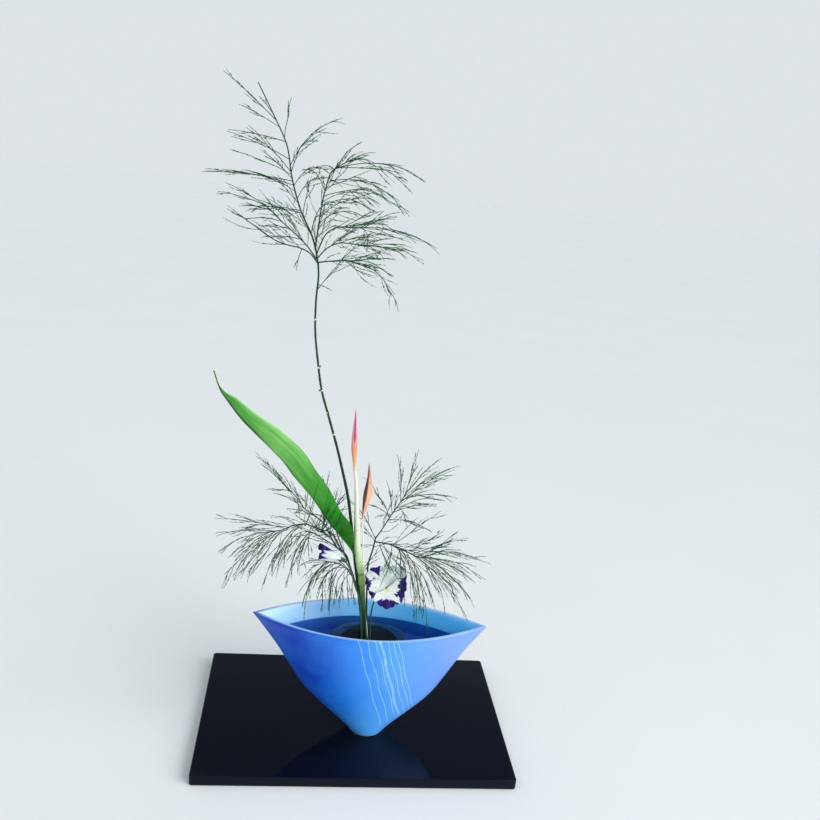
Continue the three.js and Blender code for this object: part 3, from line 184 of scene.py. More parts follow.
ASPARAGUS_LEFT = {
    "stem": LEFT_STEM, "trimmed": (), "radii": [(0, 1.5), (1, 1)],
    "limbs": [
        {"arch": 0.1, "branchlets": [
            (0.68, -45, 30, 20), (0.59, 40, 35, 40), (0.81, -50, 25, 40)]},
        {"route": [(-36, -14, 273), (-56, -25, 308), (-76, -34, 315), (-94, -42, 327),
                   (-111, -50, 324), (-127, -57, 320), (-143, -64, 321)],
         "arch": 0.14, "radii": (0.95, 0.65), "strands": 0.6,
         "forward": [(-92, 326, 14, 24, 70), (-68, 312, 6, 42, 86), (-76, 315, 46, 40, 40),
                     (-56, 307, 36, 42, 24), (-60, 309, 18, 42, 58), (-84, 320, 30, 34, 58),
                     (-72, 313, 26, 42, 66), (-48, 296, 10, 44, 62)],
         "branchlets": [
            (0.8, -95, 10, 5), (0.91, -75, -25, 0), (0.98, -65, 20, -45), (0.94, -55, -15, -35),
            (0.96, -60, -5, -85), (0.9, -55, 35, -95), (0.83, -50, -40, -55),
            (0.75, -55, 15, -95), (0.67, -40, -30, -75), (0.61, -40, 30, -95),
            (0.52, 0, -35, -35), (0.77, -65, 45, -25), (0.8, -45, 25, -55), (0.88, -50, -45, 0),
            (0.64, -20, 40, -85)]},
        {"route": [(-32, -14, 271), (-47, -6, 278), (-61, 0, 283), (-76, 6, 290), (-90, 12, 290)],
         "arch": 0.12, "radii": (0.95, 0.65),
         "branchlets": [
            (0.94, -25, -20, -80), (0.98, -45, 20, -85), (0.99, -25, 45, -50),
            (0.82, -15, 50, -95), (0.93, -20, 10, -55)]},
        {"route": [(-45, -14, 281), (-67, -3, 314), (-82, 3, 320), (-95, 8, 329),
                   (-105, 14, 341), (-118, 20, 350)], "arch": 0.06, "radii": (0.95, 0.6),
         "branchlets": [
            (0.98, -50, 0, 55), (0.96, -35, 25, -10), (0.83, 5, -20, -20), (0.65, 10, 30, 50),
            (0.35, 5, 40, 65), (0.49, -40, 45, -10), (0.73, -40, -25, 25), (0.6, -30, 30, 5),
            (0.83, -55, 25, 40)]},
        {"route": [(-9, -13, 209), (-18, -19, 235), (-30, -25, 253), (-42, -30, 263),
                   (-60, -36, 267)], "arch": 0.2, "radii": (0.95, 0.65),
         "branchlets": [
            (0.95, -25, -10, -45), (0.99, -25, -20, -80), (0.84, -10, 15, -85),
            (0.72, -10, -10, -75), (0.63, -15, 20, -80), (0.51, 5, -10, -50),
            (0.88, -35, 35, -45), (0.81, -30, -15, -35), (0.91, -40, 25, -20),
            (0.81, -25, -15, -15), (0.72, -30, 10, -60), (0.57, -15, -10, -55),
            (0.43, -10, 25, -70), (0.95, -20, -20, -25), (0.63, -30, 30, -50),
            (0.34, 5, -10, -40)]},
        {"route": [(-23, -13, 251), (-36, -7, 275), (-48, 0, 303), (-54, 5, 322), (-52, 8, 336)],
         "arch": 0.05, "radii": (0.9, 0.65),
         "branchlets": [
            (0.94, 20, -5, 20), (0.98, -10, 5, 25), (0.99, 5, 15, 20), (0.91, 20, 5, 30),
            (0.83, -25, 20, 35), (0.8, 25, 10, 15), (0.69, -40, 15, 10), (0.52, -35, 10, -10)]},
    ],
}
# Shoots: radii at root and tip, and leans in degrees. A fork and a strand stand along a stretch
# of their branchlet, and that stretch and their lengths are shares of it.
SPRIG = {
    "branchlet_radii": (0.5, 0.27), "fork_radii": (0.36, 0.216), "fine_radii": (0.32, 0.16),
    "root_spacing": 2.8, "long": 90, "sway": 0.01, "forward_fullness": 1.4,
    "fork_spacing": 26, "fork_stretch": (0.22, 0.84), "fork_length": (0.25, 0.45),
    "fork_turn": 32, "fork_droop": 0.06, "clearance": 1.2,
    "strand_spacing": 20, "strand_stretch": (0.02, 0.62), "strand_length": (0.35, 0.72),
    "strand_lean": (12, 32), "shoot_spacing": 7, "shoot_length": (18, 55),
    "shoot_lean": (24, 66),
}
# Needles stand in rings that crowd about a shoot's middle, where they are longest
NEEDLE = {"length": (3.4, 6.2), "radius": 0.21, "spacing": 2.9, "lean": (6, 19), "ring": 3,
          "crowding": (1.4, 1.7), "fullness": 0.7, "shortest": 0.5, "widest_at": 0.4}
STUB = {"length": 4.6, "radii": [1.5, 1.2, 1.05, 1, 0.96], "tones": [0.2, 0.3, 0.5, 0.9, 1.4],
        "turn": 2.4, "ring": 0.0018}
JOINTS = {"count": 26, "swell": 0.1, "length": 0.004}
SIDES = {"stem": 14, "limb": 8, "stub": 10, "shoot": 4}
# How pale the green is: 0 is the darkest, 1 a needle's tip and 1.4 a cut end
TONE = {"limb": 0.3, "branchlet": 0.4, "fork": 0.5, "fine": 0.5, "forward": 0.1,
        "tip_gain": 0.35, "needle_gain": 0.15}

# The heliconia's leaf
LEAF_FOLD = [
    (-21, -47.2, 281), (-27, -49, 295), (-52, -50, 326), (-74, -50, 357), (-92, -51, 378),
    (-106, -51, 394), (-122, -52, 416), (-147, -53, 440), (-176, -54, 468), (-198, -55, 495),
    (-210, -56, 512), (-219, -57, 537)]
LEAF = {"thickness": 0.7, "outer_width": 30, "folded_width": 22, "folded_turn": 84,
        "outer_turn": 12, "folded_roll": 12, "outer_roll": 9, "stations": 150,
        "wave": 1.6, "waves": 21, "curl": 0.28, "curl_at": 0.22, "curl_width": 0.11}
# The buds: a dark mark runs up the side that a turn in degrees faces, over a stretch of the bud
TALL_BRACT = {
    "route": [(-30, -44, 408.5), (-31.5, -44, 425), (-32.8, -44, 440), (-33.6, -44, 465),
              (-35, -44, 496)],
    "widths": [(0, 1.8), (0.1, 2.3), (0.25, 3.4), (0.42, 4.1), (0.58, 3.7), (0.75, 2.5),
               (0.9, 1.1), (1, 0.15)],
    "flatness": 0.6, "marked_side": -90, "mark_sharpness": 9, "mark": (142, 34, 80),
    "marked": [(0, 0), (0.4, 0.16), (0.56, 1), (0.9, 1), (1, 0.6)],
    "stops": {0: (210, 190, 150), 0.12: (206, 156, 110), 0.34: (216, 132, 106),
              0.5: (220, 138, 130), 0.68: (226, 154, 176), 1: (200, 132, 168)}}
SHORT_BRACT = {
    "route": [(-13, -37, 334.5), (-12, -37.5, 350), (-9, -38, 372), (-8.5, -38, 392),
              (-11, -38, 418)],
    "widths": [(0, 1.1), (0.12, 1.8), (0.3, 4.4), (0.45, 6), (0.58, 5.2), (0.75, 2.8), (0.92, 1),
               (1, 0.15)],
    "flatness": 0.5, "marked_side": -142, "mark_sharpness": 4, "mark": (72, 10, 12),
    "marked": [(0, 0.5), (0.15, 1), (0.9, 1), (1, 1)],
    "stops": {0: (230, 160, 140), 0.15: (228, 140, 112), 0.45: (226, 176, 140),
              0.65: (222, 172, 146), 0.85: (170, 84, 76), 1: (84, 30, 36)}}

# Where a photograph of the arrangement is taken from
CAMERA = {"position": (-103.6, -1166.5, 849.6), "lens": 39.1, "sensor": 36,
          "yaw": 7.12, "pitch": 16.57, "roll": 5.67}
# Where the dark screen stands in the surround, in degrees from straight behind and from level
SCREEN = {"turn": 6, "rise": 36, "inner": 17, "outer": 23}


# Lines
def seeded(seed):
    """The same sequence of numbers between 0 and 1 that the solids draw for this seed."""
    state = seed

    def draw():
        nonlocal state
        state = (state * 1664525 + 1013904223) % 2 ** 32
        return state / 2 ** 32
    return draw


def smooth_route(points, steps):
    """A smooth line through given points, with a few steps between each two."""
    points = np.array(points, float)
    last = len(points) - 1
    route = []
    for i in range(last):
        before, here, after = points[max(i - 1, 0)], points[i], points[i + 1]
        beyond = points[min(i + 2, last)]
        for t in [step / steps for step in range(steps)]:
            a, b = 2 * here, after - before
            c = 2 * before - 5 * here + 4 * after - beyond
            d = 3 * here - before - 3 * after + beyond
            route.append((a + b * t + c * t * t + d * t ** 3) / 2)
    return np.array([*route, points[last]])


def length_of(line):
    return float(np.linalg.norm(np.diff(line, axis=0), axis=1).sum())


def along(line, share):
    """The point a given share of the way along a line, and the direction there."""
    lengths = np.concatenate([[0], np.cumsum(np.linalg.norm(np.diff(line, axis=0), axis=1))])
    target = share * lengths[-1]
    i = int(np.clip(np.searchsorted(lengths, target), 1, len(line) - 1))
    t = (target - lengths[i - 1]) / (lengths[i] - lengths[i - 1])
    return mix(line[i - 1], line[i], t), unit(line[i] - line[i - 1])


def resample(line, steps):
    return np.array([along(line, i / steps)[0] for i in range(steps + 1)])


def between(rows, share):
    """The value at a share of the way through rows of (share, value), on a smooth curve."""
    x, y = np.array(rows, float).T
    slopes = np.gradient(y, x)
    i = np.clip(np.searchsorted(x, share) - 1, 0, len(x) - 2)
    width = x[i + 1] - x[i]
    t = np.clip((share - x[i]) / width, 0, 1)
    return ((1 + 2 * t) * (1 - t) ** 2 * y[i] + t * (1 - t) ** 2 * width * slopes[i]
            + t ** 2 * (3 - 2 * t) * y[i + 1] + t ** 2 * (t - 1) * width * slopes[i + 1])


def curve(start, middle, tip, steps):
    """A line from start to tip that bends towards middle."""
    t = np.linspace(0, 1, steps + 1)[:, None]
    return mix(mix(start, middle, t), mix(middle, tip, t), t)


def turns(count):
    """Angles all the way round, in equal steps."""
    return 2 * np.pi * np.arange(count) / count


def level(x, y, height):
    """Points at one height."""
    return np.stack([x, y, np.full(len(x), float(height))], axis=1)


def circle(radius, height, count, middle=(0, 0)):
    angles = turns(count)
    return level(middle[0] + radius * np.cos(angles), middle[1] + radius * np.sin(angles), height)


def rounding(radius, degrees):
    """How far back and down a rounded edge lies at some turns between its side and its top."""
    return [(radius * (1 - math.cos(turn)), radius * (1 - math.sin(turn)))
            for turn in np.radians(degrees)]


# Meshes
class Soup:
    """Points, faces and one value a point, gathered from many small shapes."""

    def __init__(self):
        self.points, self.faces, self.values, self.count = [], [], [], 0

    def add(self, points, faces, values=0.0):
        self.points.append(points)
        self.faces.extend([[i + self.count for i in face] for face in faces])
        self.values.append(np.broadcast_to(np.asarray(values, float), len(points)))
        self.count += len(points)

    def add_tube(self, line, radii, sides, values):
        points, faces = loft(tube_rings(line, radii, sides))
        self.add(points, faces, np.repeat(np.broadcast_to(values, len(line)), sides))


def grid_faces(rows, columns, closed=True):
    """Quads over a grid of points, its columns joined round or left open."""
    faces = []
    for i in range(rows - 1):
        for j in range(columns if closed else columns - 1):
            here, onward = i * columns + j, i * columns + (j + 1) % columns
            faces.append((here, onward, onward + columns, here + columns))
    return faces


def loft(rings):
    """A skin over rings of points, closed with one many-sided face at each end."""
    rings = np.asarray(rings, float)
    rows, count = rings.shape[:2]
    last = (rows - 1) * count
    ends = [tuple(reversed(range(count))), tuple(range(last, last + count))]
    return rings.reshape(-1, 3), grid_faces(rows, count) + ends


def tube_rings(line, radii, sides, flatness=1.0, swell=1.0):
    """Rings round a line. The swell is a factor for each turn, or for each point of each ring."""
    headings = np.gradient(line, axis=0)
    headings /= np.linalg.norm(headings, axis=1)[:, None]
    whole = unit(line[-1] - line[0])
    aside = UP if abs(whole[0]) > 0.8 else np.array([1.0, 0, 0])
    across = aside - headings * (headings @ aside)[:, None]
    across /= np.linalg.norm(across, axis=1)[:, None]
    front = np.cross(headings, across)
    angles = turns(sides)
    reach = (np.broadcast_to(radii, len(line))[:, None] * swell)[:, :, None]
    return (line[:, None] + reach * (across[:, None] * np.cos(angles)[None, :, None]
            + flatness * front[:, None] * np.sin(angles)[None, :, None]))


def sheet(grid, thickness, taper=1.0):
    """A closed thin sheet over a grid of points, its two faces split alike."""
    rows, columns = grid.shape[:2]
    normal = np.cross(np.gradient(grid, axis=0), np.gradient(grid, axis=1))
    normal /= np.maximum(np.linalg.norm(normal, axis=2), 1e-9)[:, :, None]
    half = normal * (thickness / 2 * np.broadcast_to(taper, (rows, columns)))[:, :, None]
    under = rows * columns
    faces = []
    for a, b, c, d in grid_faces(rows, columns, closed=False):
        faces += [(a, d, c, b), (a + under, b + under, c + under, d + under)]
    edge = ([i * columns for i in range(rows - 1)]
            + [(rows - 1) * columns + j for j in range(columns - 1)]
            + [i * columns + columns - 1 for i in range(rows - 1, 0, -1)]
            + list(range(columns - 1, 0, -1)))
    faces += [(a, a + under, b + under, b) for a, b in zip(edge, edge[1:] + edge[:1])]
    return np.concatenate([(grid + half).reshape(-1, 3), (grid - half).reshape(-1, 3)]), faces


# From the bowl's or the stems' own place to the row frame, in metres
def in_vessel(points):
    angle = math.radians(BOWL["turn"])
    turn = np.array([[math.cos(angle), -math.sin(angle), 0],
                     [math.sin(angle), math.cos(angle), 0], [0, 0, 1]])
    return standing(points @ turn.T + (BOWL["x"], BOWL["y"], 0))


def standing(points):
    return (points + (0, 0, BOARD["thickness"] + GAP)) * MM


def in_bowl(point):
    """Where a point among the stems is across and along the bowl's own turned place."""
    angle = math.radians(-BOWL["turn"])
    x, y = point[0] - BOWL["x"], point[1] - BOWL["y"]
    return np.array([x * math.cos(angle) - y * math.sin(angle),
                     x * math.sin(angle) + y * math.cos(angle)])


def shown(name, data):
    """A new object in the scene."""
    item = bpy.data.objects.new(name, data)
    bpy.context.scene.collection.objects.link(item)
    return item


def make(name, points, faces, look, node, values=None, sharp=None):
    """One visible piece that stands for a node of the solids."""
    mesh = bpy.data.meshes.new(name)
    mesh.from_pydata(points.tolist(), [], faces)
    mesh.update()
    for key, numbers in (values or {}).items():
        attribute = mesh.attributes.new(key, "FLOAT", "POINT")
        attribute.data.foreach_set("value", np.asarray(numbers, np.float32))
    mesh.shade_smooth()
    if sharp is not None:
        mesh.set_sharp_from_angle(angle=math.radians(sharp))
    mesh.materials.append(look.material)
    piece = shown(name, mesh)
    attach(piece, "root")
    if node:
        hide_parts(node)


# Materials
def colour(r, g, b):
    """A colour as it is seen on a screen, 0 to 255, in linear light."""
    def linear(value):
        value /= 255
        return value / 12.92 if value <= 0.04045 else ((value + 0.055) / 1.055) ** 2.4
    return (linear(r), linear(g), linear(b), 1.0)


class Look:
    """A node material with a few short ways to add to it. Its colours are given as on a screen."""

    def __init__(self, name, **settings):
        self.material = bpy.data.materials.new(name)
        self.material.use_nodes = True
        self.nodes = self.material.node_tree.nodes
        self.shader = self.nodes["Principled BSDF"]
        for key, value in settings.items():
            self.feed(self.shader.inputs[key.replace("_", " ")], value)
        self.place = self.nodes.new("ShaderNodeTexCoord").outputs["Object"]

    def feed(self, socket, value):
        """Gives a socket a link, a number, a place or a colour."""
        if isinstance(value, bpy.types.NodeSocket):
            self.material.node_tree.links.new(value, socket)
        else:
            socket.default_value = colour(*value) if socket.type == "RGBA" else value

    def to(self, key, value):
        self.feed(self.shader.inputs[key], value)

    def node(self, kind, inputs, output=0, **settings):
        node = self.nodes.new(kind)
        for key, value in settings.items():
            setattr(node, key, value)
        for key, value in inputs.items():
            self.feed(node.inputs[key], value)
        return node.outputs[output]

    def math(self, operation, a, b=0.0, c=0.0):
        return self.node("ShaderNodeMath", {0: a, 1: b, 2: c}, operation=operation)

    def plus(self, a, b):
        return self.math("ADD", a, b)

    def times(self, a, b):
        return self.math("MULTIPLY", a, b)

    def noise(self, scale, detail, roughness, stretch=None):
        place = self.place
        if stretch:
            place = self.node("ShaderNodeMapping", {"Vector": place, "Scale": stretch})
        return self.node("ShaderNodeTexNoise", {"Vector": place, "Scale": scale,
                                                "Detail": detail, "Roughness": roughness})

    def value(self, name):
        return self.node("ShaderNodeAttribute", {}, output="Fac", attribute_name=name)

    def axis(self, letter):
        return self.node("ShaderNodeSeparateXYZ", {0: self.place}, output=letter)

    def ramp(self, amount, stops):
        """A run of colours, each at its own amount between 0 and 1."""
        node = self.nodes.new("ShaderNodeValToRGB")
        self.feed(node.inputs["Fac"], amount)
        elements = node.color_ramp.elements
        while len(elements) < len(stops):
            elements.new(0.5)
        for element, (position, shade) in zip(elements, stops.items()):
            element.position = position
            element.color = colour(*shade)
        return node.outputs["Color"]

    def spread(self, amount, low, high, to_low=0.0, to_high=1.0):
        return self.node("ShaderNodeMapRange", {"Value": amount, "From Min": low,
                                                "From Max": high, "To Min": to_low,
                                                "To Max": to_high}, clamp=True)

    def cover(self, base, *layers):
        """A colour under some layers, each of them an amount and a colour."""
        for amount, shade in layers:
            base = self.node("ShaderNodeMix", {0: amount, 6: base, 7: shade}, output=2,
                             data_type="RGBA")
        return base

    def paint(self, base, *layers):
        self.to("Base Color", self.cover(base, *layers))

    def bump(self, height, strength, distance):
        self.to("Normal", self.node("ShaderNodeBump", {"Height": height, "Strength": strength,
                                                       "Distance": distance * MM}))


# The bowl
BOWL_SIDES = 256
BOWL_LINE = smooth_route(BOWL_STATIONS, 8).T


def boat_ring(half_length, half_depth, height):
    """The bowl's outline at one height: round at the foot, pointed at both ends at the rim."""
    share = np.clip(height / BOWL["height"], 0, 1)
    pointed = 0.5 + 0.5 * share ** 0.8
    shift = np.array(BOWL["foot_shift"]) * (1 - share)
    angles = turns(BOWL_SIDES)
    bulge = np.abs(np.sin(angles)) ** (2 * pointed)
    return level(shift[0] + half_length * np.cos(angles),
                 shift[1] + np.sign(np.sin(angles)) * half_depth * bulge, height)


def bowl_size(height):
    heights, lengths, depths = BOWL_LINE
    return np.interp(height, heights, lengths), np.interp(height, heights, depths)


def basin_ring(height, inset):
    half_length, half_depth = bowl_size(height)
    wall = BOWL["tip_wall"] + inset * BOWL["tip_wall"] / BOWL["rim_width"]
    return boat_ring(half_length - wall, half_depth - BOWL["rim_width"] - inset, height)


def foot_rings():
    """Rings from the recess under the foot, round its ring and up to its side."""
    foot, under = BOWL["foot_radius"], BOWL["foot_recess"]
    recess = foot - BOWL["foot_ring"]
    outline = [(recess - 4, under), (recess - 1.5, under - 0.3), (recess - 0.3, 1.2),
               (recess + 0.4, 0.2), (recess + 1.2, 0), (foot - 1.4, 0), (foot - 0.5, 0.3),
               (foot + 0.1, 1.2)]
    return [boat_ring(radius, radius, height) for radius, height in outline]


def rim_rings():
    """Rings over the rounded rim, whose round is wider towards the bowl's two tips."""
    top, round_over, widening = BOWL["height"], 1.9, 1.4
    length, depth = bowl_size(top)
    rings = [boat_ring(length - widening * back, depth - back, top - drop)
             for back, drop in rounding(round_over, (12, 35, 60, 90))]
    inner_length, inner_depth = length - BOWL["tip_wall"], depth - BOWL["rim_width"]
    return rings + [boat_ring(inner_length + widening * back, inner_depth + back, top - drop)
                    for back, drop in rounding(round_over, (90, 60, 35, 12))]


def basin_rings():
    """Rings down the inside and over its floor, almost to the middle."""
    floor, fillet = BOWL["floor"], BOWL["fillet"]
    rings = [basin_ring(height, 0)
             for height in np.linspace(BOWL["height"] - 4, floor + fillet, 16)]
    rings += [basin_ring(floor + rise, back)
              for back, rise in rounding(fillet, (25, 50, 75, 90))]
    flat = basin_ring(floor, fillet)
    return rings + [flat * (share, share, 1) for share in (0.75, 0.5, 0.25, 0.05)]


def glaze():
    """Satin blue glaze with painted light from the right: deep blue in painted shade on the left,
    paler on the right and low down. The rim is pale where the glaze thins and with a painted
    highlight, and a painted highlight runs along the foot's edge. Inside, the wall above the water
    is paler on the left with painted light, and the glaze is deeper blue under the water and
    deepest on the floor.
    """
    look = Look("blue_glaze", Coat_Weight=0.25, Coat_Roughness=0.3, Specular_IOR_Level=0.4)
    mottle = look.noise(38, 4, 0.6)
    cloud = look.noise(9, 3, 0.5)
    # Painted light from the right: 0 at the bowl's left, painted as in shade, to 1 at its right,
    # painted as lit, with a little cloud
    side = look.spread(look.axis("X"), (BOWL["x"] - 95) * MM, (BOWL["x"] + 110) * MM)
    side = look.plus(side, look.spread(cloud, 0.3, 0.7, -0.1, 0.1))
    height = look.axis("Z")
    # Painted light low down: paler towards the foot and the right, lifting the shade under the bowl
    low = look.times(look.spread(height, 0.02, 0.11, 1, 0), look.spread(side, 0.18, 0.66))
    # Outside: painted shade on the left in deep blue, painted light on the right in pale blue, with
    # random mottle
    outside = look.cover(
        look.ramp(side, {0: (6, 62, 188), 0.12: (12, 96, 210), 0.3: (30, 124, 230),
                         0.55: (68, 146, 236), 1: (112, 146, 230)}),
        (look.spread(mottle, 0.35, 0.75, 0, 0.2), (70, 156, 246)),
        (look.times(low, 0.85), (84, 174, 255)))
    board = BOARD["thickness"] * MM
    wet = look.cover((8, 84, 172), (look.spread(height, board + 0.1215, board + 0.127),
                                    (16, 130, 240)))
    # Painted light inside above the water: palest on the left of the wall, which faces the light
    # from the right, and deeper blue on the right, which is in shade
    dry = look.ramp(side, {0: (166, 210, 252), 0.25: (128, 200, 255), 0.7: (96, 190, 250),
                           1: (78, 188, 255)})
    basin = look.cover(wet, (look.spread(height, board + 0.128, board + 0.162), dry))
    look.paint(
        # The pale lip is partly the glaze thinning at the rim and partly a painted highlight
        outside, (look.value("inside"), basin), (look.value("lip"), (150, 188, 228)),
        # Painted highlight: a pale band along the foot's lower edge, which lies in shade
        (look.spread(height, board + 0.0008, board + 0.0032, 1, 0), (206, 228, 255)),
        (wavy_lines(look), (164, 214, 255)))
    look.to("Roughness", look.spread(mottle, 0.3, 0.8, 0.34, 0.46))
    look.bump(look.plus(mottle, look.times(cloud, 2)), 0.1, 0.4)
    return look


# The pale lines: the first one starts this far from the bowl's middle. They lean to the right,
# the later ones less, and each one swings a little. One of them is a broad, broken streak.
LINES = {"start": -20.6, "spacings": (12.6, 12.2, 6, 9.8, 8.6, 6.6), "lean": 0.3,
         "lean_loss": 0.004, "swing": 0.9, "waves": 105, "width": 0.7, "streak": 3,
         "streak_width": 4.2, "reach": 160, "reach_loss": 3}


def wavy_lines(look):
    """How much of each spot is covered by the thin lines in the glaze, all from one rule."""
    down = look.math("SUBTRACT", (BOWL["height"] + BOARD["thickness"]) * MM, look.axis("Z"))
    across = look.axis("X")
    grain = look.noise(110, 2, 0.6)
    total = 0.0
    for number, start in enumerate(np.cumsum([LINES["start"], *LINES["spacings"]])):
        broad = number == LINES["streak"]
        width = LINES["streak_width"] if broad else LINES["width"]
        reach = LINES["reach"] - number * LINES["reach_loss"]
        swing = look.math("SINE", look.math("MULTIPLY_ADD", down, LINES["waves"], 1.9 * number))
        lean = look.times(down, LINES["lean"] - number * LINES["lean_loss"])
        middle = look.math("MULTIPLY_ADD", swing, LINES["swing"] * MM, lean)
        middle = look.plus(middle, (BOWL["x"] + start) * MM)
        off = look.math("ABSOLUTE", look.math("SUBTRACT", across, middle))
        line = look.spread(off, 0.25 * width * MM, (0.5 * width + 0.3) * MM, 1, 0)
        ends = look.spread(down, (reach - 10) * MM, reach * MM, 1, 0)
        worn = look.spread(grain, 0.4, 0.62, *((0.3, 0.62) if broad else (0.65, 0.9)))
        total = look.math("MAXIMUM", total, look.times(look.times(line, ends), worn))
    return look.times(total, look.value("striped"))


def build_bowl():
    """The bowl, with values that say where it is inside, where at the lip and where striped."""
    top = BOWL["height"]
    heights = np.concatenate([np.linspace(3, 60, 20), np.linspace(64, top - 2.2, 30)])
    sides = [boat_ring(*bowl_size(height), height) for height in heights]
    rings = foot_rings() + sides + rim_rings() + basin_rings()
    points, faces = loft(rings)
    outside = next(i for i, ring in enumerate(rings) if ring[0, 2] >= top - 0.01)
    beyond = np.repeat(np.arange(len(rings)) - outside, BOWL_SIDES)
    # The lip's pale colour, partly thin glaze and partly a painted highlight, fades towards the tips
    to_tip = np.interp(np.abs(points[:, 0]), (135, 162), (1, 0.35))
    values = {"inside": beyond > 2, "striped": (beyond < 0) * (points[:, 1] < 0),
              "lip": np.interp(beyond, (-2, -1, 0, 3, 5), (0, 0.3, 1, 1, 0)) * to_tip}
    make("bowl_glazed", in_vessel(points), faces, glaze(), "bowl", values,
         sharp=50)


def build_water():
    """Still water that climbs a little at the wall."""
    edge, top = WATER["wall_gap"], WATER["top"]
    rings = [basin_ring(BOWL["floor"] + GAP, BOWL["fillet"] + edge)]
    rings += [basin_ring(height, edge)
              for height in (BOWL["floor"] + BOWL["fillet"], 135, 145, top - 1, top + 0.35)]
    rim = basin_ring(top, edge)
    middle = np.array([rim[:, 0].mean(), rim[:, 1].mean(), 0])
    for share, rise in ((0.992, 0.2), (0.98, 0.05), (0.95, 0), (0.8, 0), (0.5, 0), (0.2, 0)):
        rings.append(middle + (rim - middle) * (share, share, 1) + (0, 0, rise))
    points, faces = loft(rings)
    look = Look("still_water", Roughness=0.02, IOR=1.333, Transmission_Weight=1.0,
                Specular_Tint=(92, 150, 235))
    ripple = look.noise(14, 2, 0.5)
    look.paint(look.ramp(ripple, {0.3: (140, 204, 252), 0.7: (168, 218, 255)}))
    look.bump(ripple, 0.05, 1.0)
    make("still_water", in_vessel(points), faces, look, "water", sharp=40)


def oval(half_length, half_depth, height, count=128):
    """A ring with straight sides and round ends."""
    angles = 2 * np.pi * (np.arange(count) + 0.5) / count
    straight = np.sign(np.cos(angles)) * (half_length - half_depth)
    return level(straight + half_depth * np.cos(angles), half_depth * np.sin(angles), height)


def build_dish():
    """The clear dish, from under its foot over its wall to its floor."""
    wall, base, top = DISH["wall"], DISH["base"], DISH["height"]
    outline = [(-4, 0), (-2.2, 0.2), (-0.8, 0.8), (-0.2, 2.2), (0, 4), (0, top - 0.6),
               (-0.25, top - 0.15), (-wall / 2, top), (0.25 - wall, top - 0.15),
               (-wall, top - 0.6), (-wall, base + 3), (-wall - 0.4, base + 1),
               (-wall - 1.5, base)]
    points, faces = loft([oval(DISH["half_length"] + inset, DISH["half_depth"] + inset,
                               BOWL["floor"] + GAP + height) for inset, height in outline])
    look = Look("clear_dish", IOR=1.12, Transmission_Weight=0.75)
    scuffs = look.noise(90, 3, 0.6, (1, 1, 6))
    look.paint(look.ramp(scuffs, {0.3: (150, 208, 240), 0.7: (190, 226, 246)}))
    look.to("Roughness", look.spread(scuffs, 0.3, 0.8, 0.12, 0.3))
    make("clear_dish", in_vessel(points), faces, look, "kenzan_dish", sharp=50)


# The pin holder
def pin_places():
    """A triangular grid over the disc, without the places where a stem stands."""
    pitch, top = PINS["pitch"], KENZAN_TOP + KENZAN["pin_length"] + 3
    feet = [(in_bowl(point), radius) for route, radius in STEM_RADII
            for point in smooth_route(route, 8) if point[2] < top]
    places = []
    reach = int(KENZAN["radius"] / pitch) + 1
    for q in range(-reach, reach + 1):
        for r in range(-reach, reach + 1):
            spot = np.array([pitch * (q + r / 2), pitch * r * math.sqrt(3) / 2])
            inside = np.linalg.norm(spot) < KENZAN["radius"] - PINS["edge"]
            if inside and all(np.linalg.norm(spot - foot) > radius + PINS["radius"] + 0.3
                              for foot, radius in feet):
                places.append(spot)
    return places


def build_kenzan():
    """A disc with rounded edges and a pointed pin at each place."""
    soup = Soup()
    radius, base, length, pin = (KENZAN["radius"], KENZAN["base"], KENZAN["pin_length"],
                                 PINS["radius"])
    disc = [(radius - 1.2, 0), (radius - 0.3, 0.3), (radius, 1.2), (radius, base - 1.2),
            (radius - 0.3, base - 0.3), (radius - 1.2, base)]
    soup.add(*loft([circle(r, KENZAN_BOTTOM + z, 96) for r, z in disc]))
    taper = [(pin, -1), (pin, length - 3.5), (0.5 * pin, length - 1.2), (0.06, length)]
    for place in pin_places():
        soup.add(*loft([circle(r, KENZAN_TOP + z, 6, place) for r, z in taper]))
    look = Look("pin_holder_metal", Metallic=0.3, Specular_IOR_Level=0.15)
    tarnish = look.noise(120, 4, 0.65)
    look.paint(look.ramp(tarnish, {0.3: (5, 5, 5), 0.6: (13, 11, 9), 0.85: (36, 30, 22)}))
    look.to("Roughness", look.spread(tarnish, 0.3, 0.8, 0.6, 0.8))
    look.bump(tarnish, 0.3, 0.3)
    make("pin_holder", in_vessel(np.concatenate(soup.points)), soup.faces, look, "kenzan",
         sharp=35)


def board_ring(inset, height):
    """The board's outline with its four rounded corners."""
    x, y = BOARD["width"] / 2 - inset, BOARD["depth"] / 2 - inset
    r = max(BOARD["corner"] + BOARD["edge"] - inset, 0.6)
    corners = ((x - r, y - r, 0), (r - x, y - r, 90), (r - x, r - y, 180), (x - r, r - y, 270))
    return [(cx + r * math.cos(turn), cy + r * math.sin(turn), height)
            for cx, cy, start in corners for turn in np.radians(start + np.linspace(0, 90, 9))]


def build_board():
    """A lacquered board with softly rounded corners and edges."""
    edge, steps = BOARD["edge"], (0, 22, 45, 68, 90)
    rings = [board_ring(back, rise) for back, rise in rounding(edge, steps[::-1])]
    rings += [board_ring(back, BOARD["thickness"] - drop) for back, drop in rounding(edge, steps)]
    points, faces = loft(rings)
    look = Look("black_lacquer", IOR=1.3, Specular_Tint=(200, 216, 255))
    cloud = look.noise(5, 3, 0.5)
    dust = look.spread(look.noise(420, 2, 0.7), 0.72, 0.8, 0, 0.3)
    black = look.ramp(cloud, {0.3: (5, 6, 13), 0.75: (9, 11, 20)})
    look.paint(black, (dust, (80, 86, 98)))
    look.to("Roughness", look.spread(cloud, 0.3, 0.7, 0.02, 0.06))
    look.bump(look.noise(26, 2, 0.5), 0.02, 1.0)
    make("lacquered_board", points * MM, faces, look, "display_board", sharp=40)


